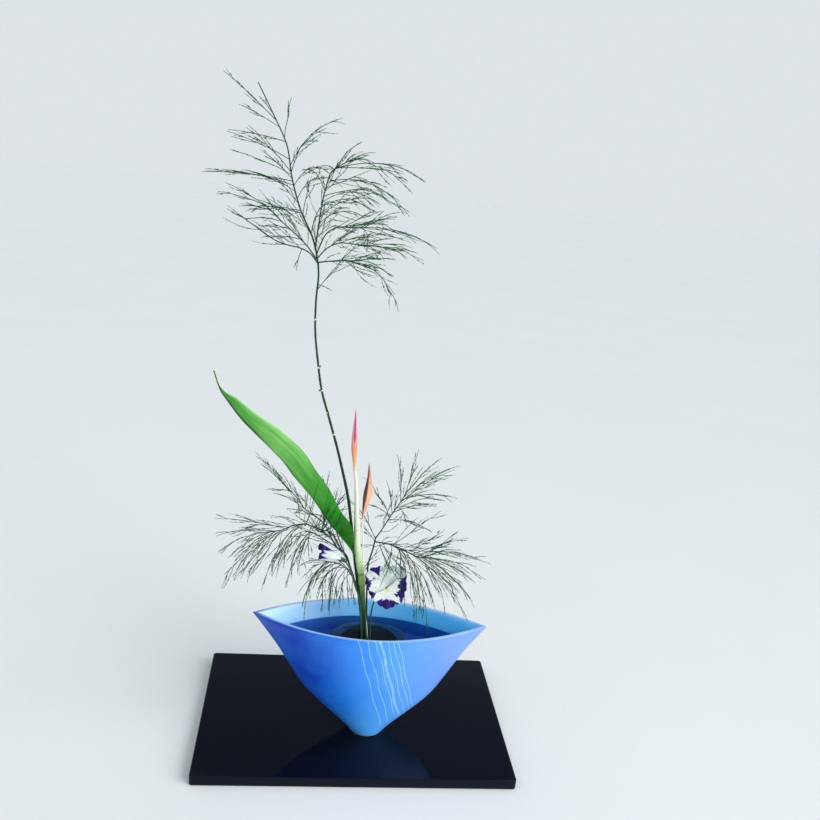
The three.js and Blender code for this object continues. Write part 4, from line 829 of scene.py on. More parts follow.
# Heliconia
def stalk_look():
    """Deep green at the foot, pale green above the joint and cream at the tip."""
    look = Look("heliconia_stalk", Roughness=0.38, Coat_Weight=0.15, Coat_Roughness=0.2,
                Subsurface_Weight=0.5, Subsurface_Radius=(0.004, 0.006, 0.002))
    streak = look.noise(60, 4, 0.6, (9, 9, 0.6))
    amount = look.plus(look.value("share"), look.spread(streak, 0.3, 0.7, -0.012, 0.012))
    greens = look.ramp(amount, {
        0: (14, 50, 26), 0.24: (24, 72, 30), 0.34: (84, 116, 46), 0.4: (142, 170, 76),
        0.442: (160, 190, 96), 0.45: (96, 96, 44), 0.458: (172, 198, 124),
        0.52: (184, 206, 154), 0.64: (196, 212, 180), 0.78: (208, 216, 194),
        0.92: (222, 220, 200), 1: (232, 200, 174)})
    look.paint(greens, (look.spread(streak, 0.5, 0.75, 0, 0.3), (120, 164, 96)))
    look.bump(streak, 0.2, 0.3)
    return look


def build_heliconia_stem():
    """The stalk, ribbed a little and swollen at its joint."""
    radii = [(0, 1.9), (0.1, 2), (0.18, 2.3), (0.34, 3.4), (0.385, 4.2), (0.396, 5),
             (0.405, 5.2), (0.412, 4.8), (0.42, 4.65), (0.5, 4.8), (0.6, 4.5), (0.7, 4),
             (0.84, 2.9), (0.95, 2.1), (1, 1.9)]
    sides, rib_count, rib_depth = 32, 8, 0.012
    route = resample(smooth_route(HELICONIA_STEM, 10), 260)
    shares = np.linspace(0, 1, len(route))
    ribs = 1 + rib_depth * np.cos(rib_count * turns(sides))
    points, faces = loft(tube_rings(route, between(radii, shares), sides, swell=ribs))
    make("heliconia_stalk", standing(points), faces, stalk_look(), "heliconia_stem",
         {"share": np.repeat(shares, sides)})


def leaf_width(share):
    """Share of the full width: a narrow stalk, a long blade and a drawn-out tip."""
    blade = np.maximum(0, (share - 0.05) / 0.95)
    body = 1.55 * np.sin(np.pi * blade ** 0.72).clip(0) ** 0.9 * (1 - 0.32 * blade)
    tip = np.maximum(0, (share - 0.86) / 0.14)
    slim = np.clip((share - 0.86) / 0.08, 0, 1)
    return np.maximum(0.08, np.minimum(1, body) * (1 - 0.75 * tip)) * (1 - 0.45 * slim)


def leaf_grid(stations, halves):
    """Points over the leaf. halves runs from -1, the folded edge, through 0, the midrib, to 1."""
    route = smooth_route(LEAF_FOLD, 12)
    rows = []
    for share in np.linspace(0, 1, stations + 1):
        point, heading = along(route, share)
        toward = np.array([0.0, -1, 0])
        front = unit(toward - heading * (toward @ heading))
        side = np.cross(heading, front)
        width = float(leaf_width(share))
        wave = LEAF["wave"] * math.sin(share * LEAF["waves"]) * math.sin(math.pi * share)
        from_curl = (share - LEAF["curl_at"]) / LEAF["curl_width"]
        curled = LEAF["curl"] * math.exp(-from_curl ** 2)
        for u in halves:
            if u >= 0:
                reach = LEAF["outer_width"] * width * u * (1 - curled)
                turn = math.radians(LEAF["outer_turn"] + LEAF["outer_roll"] * (1 - u))
            else:
                reach = LEAF["folded_width"] * width * u
                turn = math.radians(LEAF["folded_turn"] + LEAF["folded_roll"] * (1 - 2 * abs(u)))
            lift = wave * u * abs(u) ** 0.3
            rows.append(point + side * reach * math.cos(turn)
                        + front * (reach * math.sin(turn) + lift))
    return np.array(rows).reshape(stations + 1, len(halves), 3)


def leaf_look():
    """Waxy greens along the blade, with slanted veins, painted shade on the folded half and along
    the fold, and painted light along the outer edge where light shines through.
    """
    look = Look("heliconia_leaf", Roughness=0.4, Coat_Weight=0.03, Coat_Roughness=0.25,
                Specular_IOR_Level=0.12, Subsurface_Weight=0.15,
                Subsurface_Radius=(0.002, 0.006, 0.001))
    share, across = look.value("share"), look.value("across")
    aside = look.math("ABSOLUTE", across)
    slope = look.math("MULTIPLY_ADD", aside, -0.17, share)
    wobble = look.times(look.noise(30, 2, 0.5), 0.012)
    vein = look.math("SINE", look.times(look.plus(slope, wobble), 330.0))
    vein = look.times(look.spread(vein, 0.1, 1.0), look.noise(40, 2, 0.5))
    in_blade = look.node("ShaderNodeCombineXYZ", {0: look.times(share, 4.0),
                                                  1: look.times(across, 6.0)})
    streaks = look.node("ShaderNodeTexNoise", {"Vector": in_blade, "Scale": 1.3, "Detail": 3.0})
    cloud = look.spread(look.noise(18, 4, 0.6), 0.3, 0.7, -0.06, 0.06)
    greens = look.ramp(look.plus(share, cloud), {
        0: (18, 88, 2), 0.12: (24, 102, 6), 0.24: (44, 140, 30), 0.42: (72, 150, 58),
        0.6: (110, 178, 90), 0.8: (72, 150, 60), 0.92: (48, 104, 48), 1: (28, 54, 38)})
    light = look.times(look.spread(streaks, 0.52, 0.7, 0, 0.5), look.spread(share, 0.26, 0.44))
    # Painted light: a pale band along the outer edge, where light shines through the thin blade
    painted_light_edge = look.times(look.spread(across, 0.74, 0.97), look.spread(share, 0.5, 0.66))
    shaded = look.times(look.spread(aside, 0.05, 0.17, 1, 0), look.spread(share, 0.58, 0.7))
    dry = look.times(look.spread(aside, 0.95, 1.0, 0, 0.6), look.spread(share, 0.5, 0.64, 1, 0))
    look.paint(
        greens, (light, (146, 208, 104)), (look.spread(streaks, 0.3, 0.46, 0.4, 0), (38, 124, 30)),
        (look.times(vein, 0.07), (150, 220, 120)), (look.times(painted_light_edge, 0.6), (172, 222, 156)),
        # Painted shade: the folded half, turned away from the light, is deep green
        (look.times(look.spread(across, -0.12, 0.0, 1, 0), 0.62), (14, 66, 10)),
        (look.times(shaded, 0.85), (22, 58, 24)), (dry, (36, 88, 26)))
    look.to("Roughness", look.spread(vein, 0, 1, 0.36, 0.46))
    look.bump(look.plus(look.times(vein, 0.5), streaks), 0.2, 0.3)
    return look


def build_leaf():
    """The leaf, thin at its edges and thicker along its midrib."""
    halves = np.concatenate([np.linspace(-1, 0, 17)[:-1], np.linspace(0, 1, 25)])
    stations = LEAF["stations"]
    shares, across = np.meshgrid(np.linspace(0, 1, stations + 1), halves, indexing="ij")
    taper = 1 - 0.55 * np.abs(across) ** 3
    rib = 1.6 * np.exp(-(across / 0.06) ** 2) * (1 - 0.6 * shares)
    points, faces = sheet(leaf_grid(stations, halves), LEAF["thickness"], taper + rib)
    make("heliconia_leaf_blade", standing(points), faces, leaf_look(), "heliconia_leaf",
         {"share": np.tile(shares.ravel(), 2),
                            "across": np.tile(across.ravel(), 2)})


def bract_look(name, stops, mark):
    look = Look(name, Roughness=0.36, Coat_Weight=0.35, Coat_Roughness=0.2,
                Subsurface_Weight=0.2, Subsurface_Radius=(0.006, 0.002, 0.001))
    streak = look.noise(70, 4, 0.6, (8, 8, 0.8))
    amount = look.plus(look.value("share"), look.spread(streak, 0.3, 0.7, -0.05, 0.05))
    look.paint(look.ramp(amount, stops), (look.spread(look.value("marked"), 0.2, 0.75), mark),
               (look.spread(streak, 0.55, 0.75, 0, 0.3), (250, 190, 120)))
    look.bump(streak, 0.25, 0.25)
    return look


def build_bract(name, node, bract):
    """A pointed bud with a keel on one side and the lapped edge of its outer bract."""
    steps, sides = 90, 48
    keel_height, keel_width, lap_twist, under_lap = 0.07, 0.35, 1.1, 0.94
    route = resample(smooth_route(bract["route"], 12), steps)
    shares = np.linspace(0, 1, steps + 1)
    turn = turns(sides)
    from_keel = np.angle(np.exp(1j * (turn - np.pi)))
    keel = 1 + keel_height * np.exp(-(from_keel / keel_width) ** 2)
    from_lap = np.angle(np.exp(1j * (turn + np.pi / 2 - lap_twist * shares[:, None])))
    points, faces = loft(tube_rings(route, between(bract["widths"], shares), sides,
                                    bract["flatness"], keel * np.where(from_lap > 0, 1, under_lap)))
    facing = np.clip(np.cos(turn - math.radians(bract["marked_side"])), 0, 1)
    marked = np.outer(between(bract["marked"], shares), facing ** bract["mark_sharpness"])
    make(name, standing(points), faces, bract_look(name, bract["stops"], bract["mark"]), node,
         {"share": np.repeat(shares, sides), "marked": marked.ravel()}, sharp=60)


def green_stalk(name, low, high, spots, roughness=0.5):
    """A plain stalk's look: two greens in long streaks, with a few darker flecks."""
    look = Look(name, Roughness=roughness, Subsurface_Weight=0.08,
                Subsurface_Radius=(0.002, 0.003, 0.001))
    streak = look.noise(50, 4, 0.6, (8, 8, 0.7))
    flecks = look.spread(look.noise(300, 2, 0.6), 0.62, 0.72, 0, 0.5)
    look.paint(look.ramp(streak, {0.3: low, 0.7: high}), (flecks, spots))
    look.bump(streak, 0.2, 0.2)
    return look


def build_plain_stem(name, node, route, radii, look):
    steps = 90
    shares = np.linspace(0, 1, steps + 1)
    wobble = 1 + 0.03 * np.sin(40 * shares) * np.sin(9 * shares)
    line = resample(smooth_route(route, 10), steps)
    points, faces = loft(tube_rings(line, mix(*radii, shares) * wobble, 16))
    make(name, standing(points), faces, look, node)


# Pansies: each petal's middle angle, spread, length, layer and how far painted shade greys its
# # white. From one petal to the next the waves start a phase further on. The lip, with the eye, is
# # the lowest one.
PETALS = [
    {"angle": 125, "spread": 62, "length": 27, "layer": -1.3, "tint": 0.3},
    {"angle": 55, "spread": 62, "length": 27, "layer": -2.6, "tint": 1},
    {"angle": 188, "spread": 55, "length": 24.5, "layer": 0, "tint": 0.1},
    {"angle": -8, "spread": 55, "length": 27, "layer": 1.3, "tint": 0.1},
    {"angle": -90, "spread": 68, "length": 29, "layer": 2.6, "tint": 0.2},
]
PETAL_PHASE = 1.7
PETAL_THICKNESS = 0.6
LIP_ANGLE = -90
# How far out the violet edge begins at each turn round a bloom, in degrees from its right side
OPEN_VIOLET = [(-180, 0.86), (-165, 0.84), (-152, 0.76), (-144, 0.9), (-136, 1.12), (-124, 1),
               (-114, 0.7), (-100, 0.58), (-78, 0.56), (-62, 0.66), (-52, 0.92), (-43, 1.02),
               (-34, 0.8), (-22, 0.64), (0, 0.6), (20, 0.64), (30, 0.78), (40, 1), (52, 1.12),
               (106, 1.12), (114, 0.74), (121, 0.62), (129, 0.74), (137, 1.02), (150, 0.94),
               (165, 0.88), (180, 0.86)]
CUP_VIOLET = [(-180, 0.7), (-110, 0.84), (-60, 0.88), (-20, 0.86), (-8, 0.58), (4, 0.86),
              (34, 0.84), (50, 0.78), (66, 0.6), (84, 0.46), (130, 0.5), (180, 0.8)]


def petal_grid(petal, bloom, phase, rows=28, columns=72):
    """One petal in its flower's frame: x and y across the face, z towards the viewer."""
    fold, loose, scale = math.radians(bloom["fold"]), bloom["ruffle"], bloom["scale"]
    out, swing = np.meshgrid(np.linspace(0, 1, rows + 1), np.linspace(-1, 1, columns + 1),
                             indexing="ij")
    edge = 1 - loose * (0.2 * swing ** 2 + 0.55 * np.maximum(0, np.abs(swing) - 0.8) * out)
    ruffle = (1 + loose * 0.06 * out * np.sin(5 * swing + phase)
              + loose * 0.026 * out ** 3 * np.sin(19 * swing + phase))
    length = petal["length"] * (1 + bloom["skew"] * math.sin(math.radians(petal["angle"])))
    radius = scale * mix(0.9, length * bloom["reach"] * edge * ruffle, out)
    angle = np.radians(petal["angle"] + petal["spread"] * swing * (0.75 + 0.25 * out))
    wave = loose * (0.8 * out ** 2 * np.sin(6 * swing + phase)
                    + 1.3 * scale * out ** 4 * np.sin(13 * swing + 2 * phase))
    crease = -0.35 * np.exp(-(swing / 0.12) ** 2) * out
    across = radius * math.cos(fold) * np.maximum(out, 0.05) ** -bloom["swell"]
    layer = scale * bloom["layering"] * petal["layer"] / math.cos(fold)
    height = layer + wave + crease + radius * math.sin(fold)
    return np.stack([across * np.cos(angle), across * np.sin(angle), height], axis=2), out, swing


def violet_edge(grid, out, starts, phase):
    """1 where a petal is violet: a ragged band that begins further out or in round the bloom."""
    angle = np.degrees(np.arctan2(grid[:, :, 1], grid[:, :, 0]))
    ragged = 0.05 * np.sin(0.21 * angle + phase) + 0.03 * np.sin(0.57 * angle + 2 * phase)
    return np.clip((out + ragged - between(starts, angle)) / 0.16 + 0.5, 0, 1)


def petal_look():
    """Velvety violet edges round white, with lilac between them and grey green veins within."""
    look = Look("pansy_petal", Roughness=0.75, Sheen_Weight=0.08, Sheen_Roughness=0.4,
                Specular_IOR_Level=0.2, Subsurface_Weight=0.1,
                Subsurface_Radius=(0.002, 0.002, 0.003))
    cloud = look.noise(150, 4, 0.6)
    patches = look.noise(75, 3, 0.6)
    white = look.ramp(cloud, {0.3: (196, 206, 202), 0.7: (226, 232, 230)})
    violet = look.ramp(cloud, {0.3: (14, 4, 52), 0.7: (40, 10, 112)})
    edge = look.plus(look.value("violet"), look.spread(patches, 0.3, 0.7, -0.3, 0.3))
    veins = look.spread(look.math("SINE", look.times(look.value("swing"), 30.0)), 0.55, 1.0)
    near = look.spread(look.value("out"), 0.35, 0.85, 0.6, 0)
    look.paint(
        # Painted shade: grey green on petals in shade, most on the upper right one under the fern
        white, (look.value("tint"), (158, 180, 172)),
        (look.spread(patches, 0.5, 0.7, 0, 0.4), (150, 172, 164)),
        (look.times(veins, near), (84, 112, 104)),
        (look.spread(edge, 0.05, 0.35, 0, 0.5), (168, 140, 214)),
        (look.spread(edge, 0.35, 0.6), violet),
        (look.spread(look.value("eye"), 0.2, 0.8), (196, 206, 140)))
    look.bump(look.plus(cloud, veins), 0.3, 0.2)
    return look


def bloom_frame(bloom):
    """The directions across, up and out of a bloom's face, and its middle."""
    face = unit(np.array(bloom["faces"], float))
    right = unit(np.cross(UP, face))
    return np.array([right, np.cross(face, right), face]), np.array(bloom["centre"], float)


def build_pansy(name, node, bloom, violet_starts):
    """Five overlapping petals with the values that their look needs, and the calyx."""
    soup, values = Soup(), {}
    for i, petal in enumerate(PETALS):
        phase = PETAL_PHASE * i
        grid, out, swing = petal_grid(petal, bloom, phase)
        soup.add(*sheet(grid, PETAL_THICKNESS, 1 - 0.45 * out ** 3))
        # The painted shade in tint grows towards each petal's outer end
        fields = {"violet": violet_edge(grid, out, violet_starts, phase),
                  "tint": petal["tint"] * out, "swing": swing, "out": out,
                  "eye": np.clip(1 - (out - 0.1) / 0.1, 0, 1) * (petal["angle"] == LIP_ANGLE)}
        for key, field in fields.items():
            values.setdefault(key, []).extend(np.tile(field.ravel(), 2))
    basis, centre = bloom_frame(bloom)
    make(name, standing(np.concatenate(soup.points) @ basis + centre), soup.faces, PETAL_LOOK,
         node, values)
    build_calyx(name + "_calyx", bloom, basis, centre)


def build_calyx(name, bloom, basis, centre):
    """The green cup behind the petals and its five pointed sepals."""
    scale, fold = bloom["scale"], math.radians(bloom["fold"])
    soup = Soup()
    cup = [(1.2, -6), (2.6, -5.4), (3.1, -4), (3, -2.6), (2, -1.4)]
    soup.add(*loft([circle(scale * r, scale * z, 24) for r, z in cup]))
    out, swing = np.meshgrid(np.linspace(0, 1, 15), np.linspace(-1, 1, 9), indexing="ij")
    reach = scale * mix(1.5, 8, out)
    half = 2.3 * scale * np.sin(np.pi * (0.12 + 0.86 * out)) ** 0.8 * swing
    across = reach * math.cos(fold)
    height = -4.6 * scale / math.cos(fold) + reach * math.sin(fold) - 0.5 * scale * swing ** 2
    for middle in turns(5) + math.pi / 5:
        grid = np.stack([across * math.cos(middle) - half * math.sin(middle),
                         across * math.sin(middle) + half * math.cos(middle), height], axis=2)
        soup.add(*sheet(grid, 0.5))
    make(name, standing(np.concatenate(soup.points) @ basis + centre), soup.faces, PANSY_STALK,
         None)


# Asparagus
def obstacles():
    """Places that the shoots and needles keep clear of, as points with a radius."""
    rows = []
    for points, radius, steps in (
            (TALL_STEM[:12], 3.6, 10), (HELICONIA_STEM, 5.2, 10), (BRACT_STEM, 1.2, 10),
            (LARGE_PANSY_STEM, 1.6, 10), (SMALL_PANSY_STEM, 1.6, 10),
            (TALL_BRACT["route"], 4.6, 10), (SHORT_BRACT["route"], 7.2, 10), (LEAF_FOLD, 3, 12)):
        rows += [(*point, radius) for point in smooth_route(points, steps)]
    for bloom in (LARGE_PANSY, SMALL_PANSY):
        basis, centre = bloom_frame(bloom)
        for share in (0.35, 0.7, 1):
            spots = circle(26 * bloom["scale"] * share, 0, 24) @ basis + centre
            rows += [(*spot, 5) for spot in spots]
    blade = leaf_grid(18, (1, 0.55, 0, -0.5, -1)).reshape(-1, 3)
    return np.array(rows + [(*point, 4) for point in blade])


def sideways(heading, turn):
    """Any direction square to a line."""
    level_side = unit(np.cross(heading, (1, 0, 0) if abs(heading[2]) > 0.9 else UP))
    return level_side * math.cos(turn) + np.cross(level_side, heading) * math.sin(turn)


def limb_line(stem, route):
    """A limb's line, rooted at the nearest spot of its stem."""
    spots = resample(stem, 200)
    root = spots[np.argmin(np.linalg.norm(spots - np.array(route[0]), axis=1))]
    return resample(smooth_route([tuple(root), *route[1:]], 4), len(route))


def root_shares(line, rows):
    """Where each branchlet leaves its limb: those that share one spot stand a little apart."""
    spacing = SPRIG["root_spacing"] / length_of(line)
    shares = [0.0] * len(rows)
    highest = 0.99
    for i in sorted(range(len(rows)), key=lambda k: -rows[k][0]):
        shares[i] = min(rows[i][0], highest)
        highest = shares[i] - spacing
    return shares


def branchlet_line(limb, row, root_share, arch, steps):
    share, *reach = row
    tip = along(limb, share)[0] + np.array(reach, float)
    point, heading = along(limb, root_share)
    to_tip = tip - point
    middle = point + to_tip * 0.5 + (heading + UP) * arch * np.linalg.norm(to_tip)
    return curve(point, middle, tip, steps)


def fork_ends(line, length, draw):
    """Where the side shoots of a branchlet start and end, to the left and right by turns."""
    ends = []
    count = int(length // SPRIG["fork_spacing"])
    for i in range(count):
        share = mix(*SPRIG["fork_stretch"], (i + 0.3 + 0.5 * draw()) / count)
        reach = length * mix(*SPRIG["fork_length"], draw()) * (1.15 - 0.6 * share)
        lean = math.radians(SPRIG["fork_turn"] * (0.7 + 0.6 * draw()))
        turn = (math.pi if i % 2 else 0) + 1.1 * (draw() - 0.5)
        point, heading = along(line, share)
        direction = heading * math.cos(lean) + sideways(heading, turn) * math.sin(lean)
        ends.append((point, point + direction * reach - UP * reach * SPRIG["fork_droop"]))
    return ends


def bent(start, heading, tip):
    """A shoot that sets off one way and bends to its own tip."""
    return curve(start, start + heading * np.linalg.norm(tip - start) * 0.5, tip, 8)


class Fern:
    """An asparagus plant: its shapes, its random numbers and the places that it keeps clear of."""

    def __init__(self, plant, around, seed):
        self.soup, self.around = Soup(), around
        self.random = np.random.default_rng(seed)
        stem = resample(smooth_route(plant["stem"], 4), max(8, len(plant["stem"])))
        self.add_stem(stem, plant)
        number = seed
        for limb in plant["limbs"]:
            strands = limb.get("strands", 1)
            spine = stem
            if "route" in limb:
                spine = limb_line(stem, limb["route"])
                self.add_limb(smooth_route(spine, 5), limb, strands)
            for row, root in zip(limb["branchlets"], root_shares(spine, limb["branchlets"])):
                number += 1
                line = self.add_branchlet(spine, row, root, limb["arch"], seeded(number))
                self.add_fine_shoots(self.side_strands(line, strands))
        self.add_stubs(stem, plant["trimmed"])

    def add_stem(self, stem, plant):
        """The stem, thicker at its joints and pale where a side shoot was trimmed."""
        line = smooth_route(stem, 24)
        shares = np.linspace(0, 1, len(line))
        from_joint = (shares * JOINTS["count"]) % 1 - 0.5
        joints = 1 + JOINTS["swell"] * np.exp(-from_joint ** 2 / JOINTS["length"])
        tone = 0.12 + 0.3 * shares ** 2
        for share in plant["trimmed"]:
            tone = np.maximum(tone, 2 * np.exp(-((shares - share) / STUB["ring"]) ** 2))
        self.soup.add_tube(line, between(plant["radii"], shares) * joints, SIDES["stem"], tone)

    def add_stubs(self, stem, trimmed):
        """Short ends of trimmed side shoots that pale towards their cut."""
        for i, share in enumerate(trimmed):
            point, heading = along(stem, share)
            direction = heading * 0.5 + sideways(heading, STUB["turn"] * i) * 0.85
            stub = point + direction * np.linspace(0, STUB["length"], len(STUB["tones"]))[:, None]
            self.soup.add_tube(stub, STUB["radii"], SIDES["stub"], STUB["tones"])

    def add_limb(self, line, limb, strands):
        """A limb with its fine shoots, and those that come forward."""
        radii = mix(*limb["radii"], np.linspace(0, 1, len(line)))
        self.soup.add_tube(line, radii, SIDES["limb"], TONE["limb"])
        self.add_fine_shoots(self.limb_shoots(line, strands))
        for row in limb.get("forward", ()):
            self.add_forward_shoot(line, row)

    def is_clear(self, start, end):
        if not len(self.around):
            return True
        step = end - start
        t = np.clip((self.around[:, :3] - start) @ step / (step @ step), 0, 1)
        gaps = np.linalg.norm(self.around[:, :3] - (start + step * t[:, None]), axis=1)
        return bool(np.all(gaps > self.around[:, 3] + SPRIG["clearance"]))

    def add_needles(self, line, tone):
        """Slim needles in threes along a shoot, pressed forwards, longest about its middle."""
        draw = self.random.uniform
        count = max(2, int(length_of(line) / NEEDLE["spacing"]))
        shares = self.random.beta(*NEEDLE["crowding"], count)
        fullness = np.repeat(np.sin(np.pi * shares) ** NEEDLE["fullness"], NEEDLE["ring"])
        spots = np.repeat([along(line, share) for share in shares], NEEDLE["ring"], axis=0)
        points, headings = spots[:, 0], spots[:, 1]
        amount = len(points)
        around = np.tile(turns(NEEDLE["ring"]), count) + draw(0, 2 * np.pi, amount)
        lean = np.radians(draw(*NEEDLE["lean"], amount) * fullness)[:, None]
        level_side = np.cross(headings, UP + 0.01)
        level_side /= np.linalg.norm(level_side, axis=1)[:, None]
        side = (level_side * np.cos(around)[:, None]
                + np.cross(level_side, headings) * np.sin(around)[:, None])
        direction = headings * np.cos(lean) + side * np.sin(lean)
        reach = (draw(*NEEDLE["length"], amount) * mix(NEEDLE["shortest"], 1, fullness))[:, None]
        tips = points + direction * reach
        if len(self.around):
            gaps = np.linalg.norm(tips[:, None] - self.around[None, :, :3], axis=2)
            keep = np.all(gaps > self.around[None, :, 3] + SPRIG["clearance"], axis=1)
            points, direction, tips, reach, side = (
                field[keep] for field in (points, direction, tips, reach, side))
        if len(points):
            widest = points + direction * reach * NEEDLE["widest_at"]
            self.add_spikes(points, direction, side, widest, tips, tone)

    def add_spikes(self, points, direction, side, widest, tips, tone):
        """Needles as slim double pyramids, three-sided, that pale at their tips."""
        across = np.cross(direction, side)
        across /= np.linalg.norm(across, axis=1)[:, None]
        over = np.cross(across, direction)
        corners = [widest + NEEDLE["radius"] * (across * math.cos(a) + over * math.sin(a))
                   for a in turns(3)]
        block = np.stack([points, *corners, tips], axis=1).reshape(-1, 3)
        pattern = np.array([(0, 2, 1), (0, 3, 2), (0, 1, 3), (4, 1, 2), (4, 2, 3), (4, 3, 1)])
        amount = len(points)
        faces = (pattern[None] + 5 * np.arange(amount)[:, None, None]).reshape(-1, 3)
        self.soup.add(block, faces.tolist(), np.tile([tone, tone, tone, tone, 1.0], amount))

    def add_shoot(self, line, radii, tone):
        steps = np.linspace(0, 1, len(line))
        tones = mix(tone, tone + TONE["tip_gain"], steps)
        self.soup.add_tube(line, mix(*radii, steps), SIDES["shoot"], tones)
        self.add_needles(line, tone + TONE["needle_gain"])

    def add_fine_shoots(self, shoots):
        for shoot in shoots:
            if self.is_clear(shoot[0], shoot[-1]):
                self.add_shoot(shoot, SPRIG["fine_radii"], TONE["fine"])

    def leaning_shoot(self, point, heading, reach, lean):
        """A fine shoot that leaves its parent at a slant and then swings towards its heading."""
        side = sideways(heading, self.random.uniform(0, 2 * math.pi))
        first = heading * math.cos(lean) + side * math.sin(lean)
        later = heading * math.cos(0.5 * lean) + side * math.sin(0.5 * lean)
        return bent(point, first, point + later * reach)

    def side_strands(self, line, fullness):
        """Fine shoots that run beside their branchlet and end short of its tip."""
        draw = self.random.uniform
        strands = []
        length = np.linalg.norm(line[-1] - line[0])
        count = int(fullness * length / SPRIG["strand_spacing"])
        for i in range(count):
            share = mix(*SPRIG["strand_stretch"], (i + draw()) / count)
            onward = along(line, min(1, share + 0.3))[1]
            reach = length * (1.02 - share) * draw(*SPRIG["strand_length"])
            lean = math.radians(draw(*SPRIG["strand_lean"]))
            strands.append(self.leaning_shoot(along(line, share)[0], onward, reach, lean))
        return strands

    def limb_shoots(self, spine, fullness):
        """Short fine shoots that leave a limb in every direction and cross its branchlets."""
        draw = self.random.uniform
        shoots = []
        for _ in range(int(fullness * length_of(spine) / SPRIG["shoot_spacing"])):
            point, heading = along(spine, draw(0.1, 0.97))
            lean = math.radians(draw(*SPRIG["shoot_lean"]))
            shoots.append(self.leaning_shoot(point, heading, draw(*SPRIG["shoot_length"]), lean))
        return shoots

    def add_forward_shoot(self, spine, row):
        """A fine shoot that first comes forward and then bends to its tip, with a few of its own."""
        across, height, right, forward, rise = row
        root = spine[np.argmin(np.hypot(spine[:, 0] - across, spine[:, 2] - height))]
        line = bent(root, np.array([0, -1, 0]), root + np.array([right, -forward, rise]))
        self.add_shoot(line, SPRIG["branchlet_radii"], TONE["forward"])
        self.add_fine_shoots(self.side_strands(line, SPRIG["forward_fullness"]))

    def add_branchlet(self, spine, row, root, arch, draw):
        """A branchlet that sways a little, with the side shoots that the solids have too."""
        last = 14
        line = branchlet_line(spine, row, root, arch, last)
        length = float(np.linalg.norm(line[-1] - line[0]))
        coarse = branchlet_line(spine, row, root, arch, 3 if length > SPRIG["long"] else 2)
        steps = np.linspace(0, math.pi, len(line))[:, None]
        sway = np.sin(steps) * self.random.normal(0, 1, 3) * SPRIG["sway"] * length
        line = line + sway * np.sin(3 * steps)
        self.add_shoot(line, SPRIG["branchlet_radii"], TONE["branchlet"])
        for start, end in fork_ends(coarse, length, draw):
            nearest = np.argmin(np.linalg.norm(line - start, axis=1))
            if self.is_clear(start, end):
                onward = unit(line[min(nearest + 2, last)] - line[min(nearest + 1, last - 1)])
                reach = np.linalg.norm(end - start)
                tip = mix(end, line[nearest] + onward * reach * 1.08, 0.3)
                self.add_shoot(bent(line[nearest], unit(end - start), tip),
                               SPRIG["fork_radii"], TONE["fork"])
        return line


def fern_look():
    """Dark, slightly blue green that pales towards the shoots' tips. Cut stubs end whitish."""
    look = Look("asparagus_green", Roughness=0.55, Specular_IOR_Level=0.32,
                Subsurface_Weight=0.05, Subsurface_Radius=(0.001, 0.002, 0.001))
    cloud = look.spread(look.noise(45, 3, 0.55), 0.3, 0.7, -0.15, 0.15)
    fleck = look.noise(400, 2, 0.6)
    greens = look.ramp(look.times(look.plus(look.value("tone"), cloud), 0.5), {
        0: (8, 40, 26), 0.15: (4, 52, 26), 0.3: (2, 70, 32), 0.5: (10, 98, 44),
        0.62: (150, 160, 120), 0.9: (244, 246, 236)})
    look.paint(greens, (look.spread(fleck, 0.6, 0.75, 0, 0.3), (20, 130, 50)))
    look.bump(fleck, 0.2, 0.15)
    return look


def build_asparagus(name, node, plant, around, seed):
    soup = Fern(plant, around, seed).soup
    make(name, standing(np.concatenate(soup.points)), soup.faces, FERN_LOOK, node,
         {"tone": np.concatenate(soup.values)})


# The stage
def camera():
    yaw, pitch, roll = (math.radians(CAMERA[key]) for key in ("yaw", "pitch", "roll"))
    ahead = Vector((math.sin(yaw) * math.cos(pitch), math.cos(yaw) * math.cos(pitch),
                    -math.sin(pitch)))
    right = Vector((math.cos(yaw), -math.sin(yaw), 0))
    up = right.cross(ahead)
    turned_right = right * math.cos(roll) + up * math.sin(roll)
    turned_up = up * math.cos(roll) - right * math.sin(roll)
    data = bpy.data.cameras.new("camera")
    data.lens, data.sensor_width = CAMERA["lens"], CAMERA["sensor"]
    data.clip_start, data.clip_end = 0.01, 100
    place = Matrix((turned_right, turned_up, -ahead)).transposed().to_4x4()
    place.translation = Vector(CAMERA["position"]) * MM
    rig = shown("camera", data)
    rig.matrix_world = place
    bpy.context.scene.camera = rig


def lamp(name, kind, power, tint, position, toward, **settings):
    """A light at a position. The vector toward points from what it lights back to it."""
    data = bpy.data.lights.new(name, kind)
    data.energy, data.color = power, tint
    for key, value in settings.items():
        setattr(data, key, value)
    light = shown(name, data)
    light.location = position
    light.rotation_euler = Vector(toward).to_track_quat("Z", "Y").to_euler()


def surround():
    """A pale surround with a dark screen high at the back, for the water and lacquer to mirror."""
    world = bpy.data.worlds.new("surround")
    world.use_nodes = True
    nodes, links = world.node_tree.nodes, world.node_tree.links
    facing = nodes.new("ShaderNodeVectorMath")
    facing.operation = "DOT_PRODUCT"
    turn, rise = math.radians(SCREEN["turn"]), math.radians(SCREEN["rise"])
    facing.inputs[1].default_value = (math.sin(turn) * math.cos(rise),
                                      math.cos(turn) * math.cos(rise), math.sin(rise))
    links.new(nodes.new("ShaderNodeTexCoord").outputs["Generated"], facing.inputs[0])
    screen = nodes.new("ShaderNodeValToRGB")
    links.new(facing.outputs["Value"], screen.inputs["Fac"])
    for element, reach, shade in zip(screen.color_ramp.elements, ("outer", "inner"),
                                     ((224, 230, 233), (130, 138, 152))):
        element.position = math.cos(math.radians(SCREEN[reach]))
        element.color = colour(*shade)
    background = nodes["Background"]
    links.new(screen.outputs["Color"], background.inputs["Color"])
    background.inputs["Strength"].default_value = 0.975
    bpy.context.scene.world = world


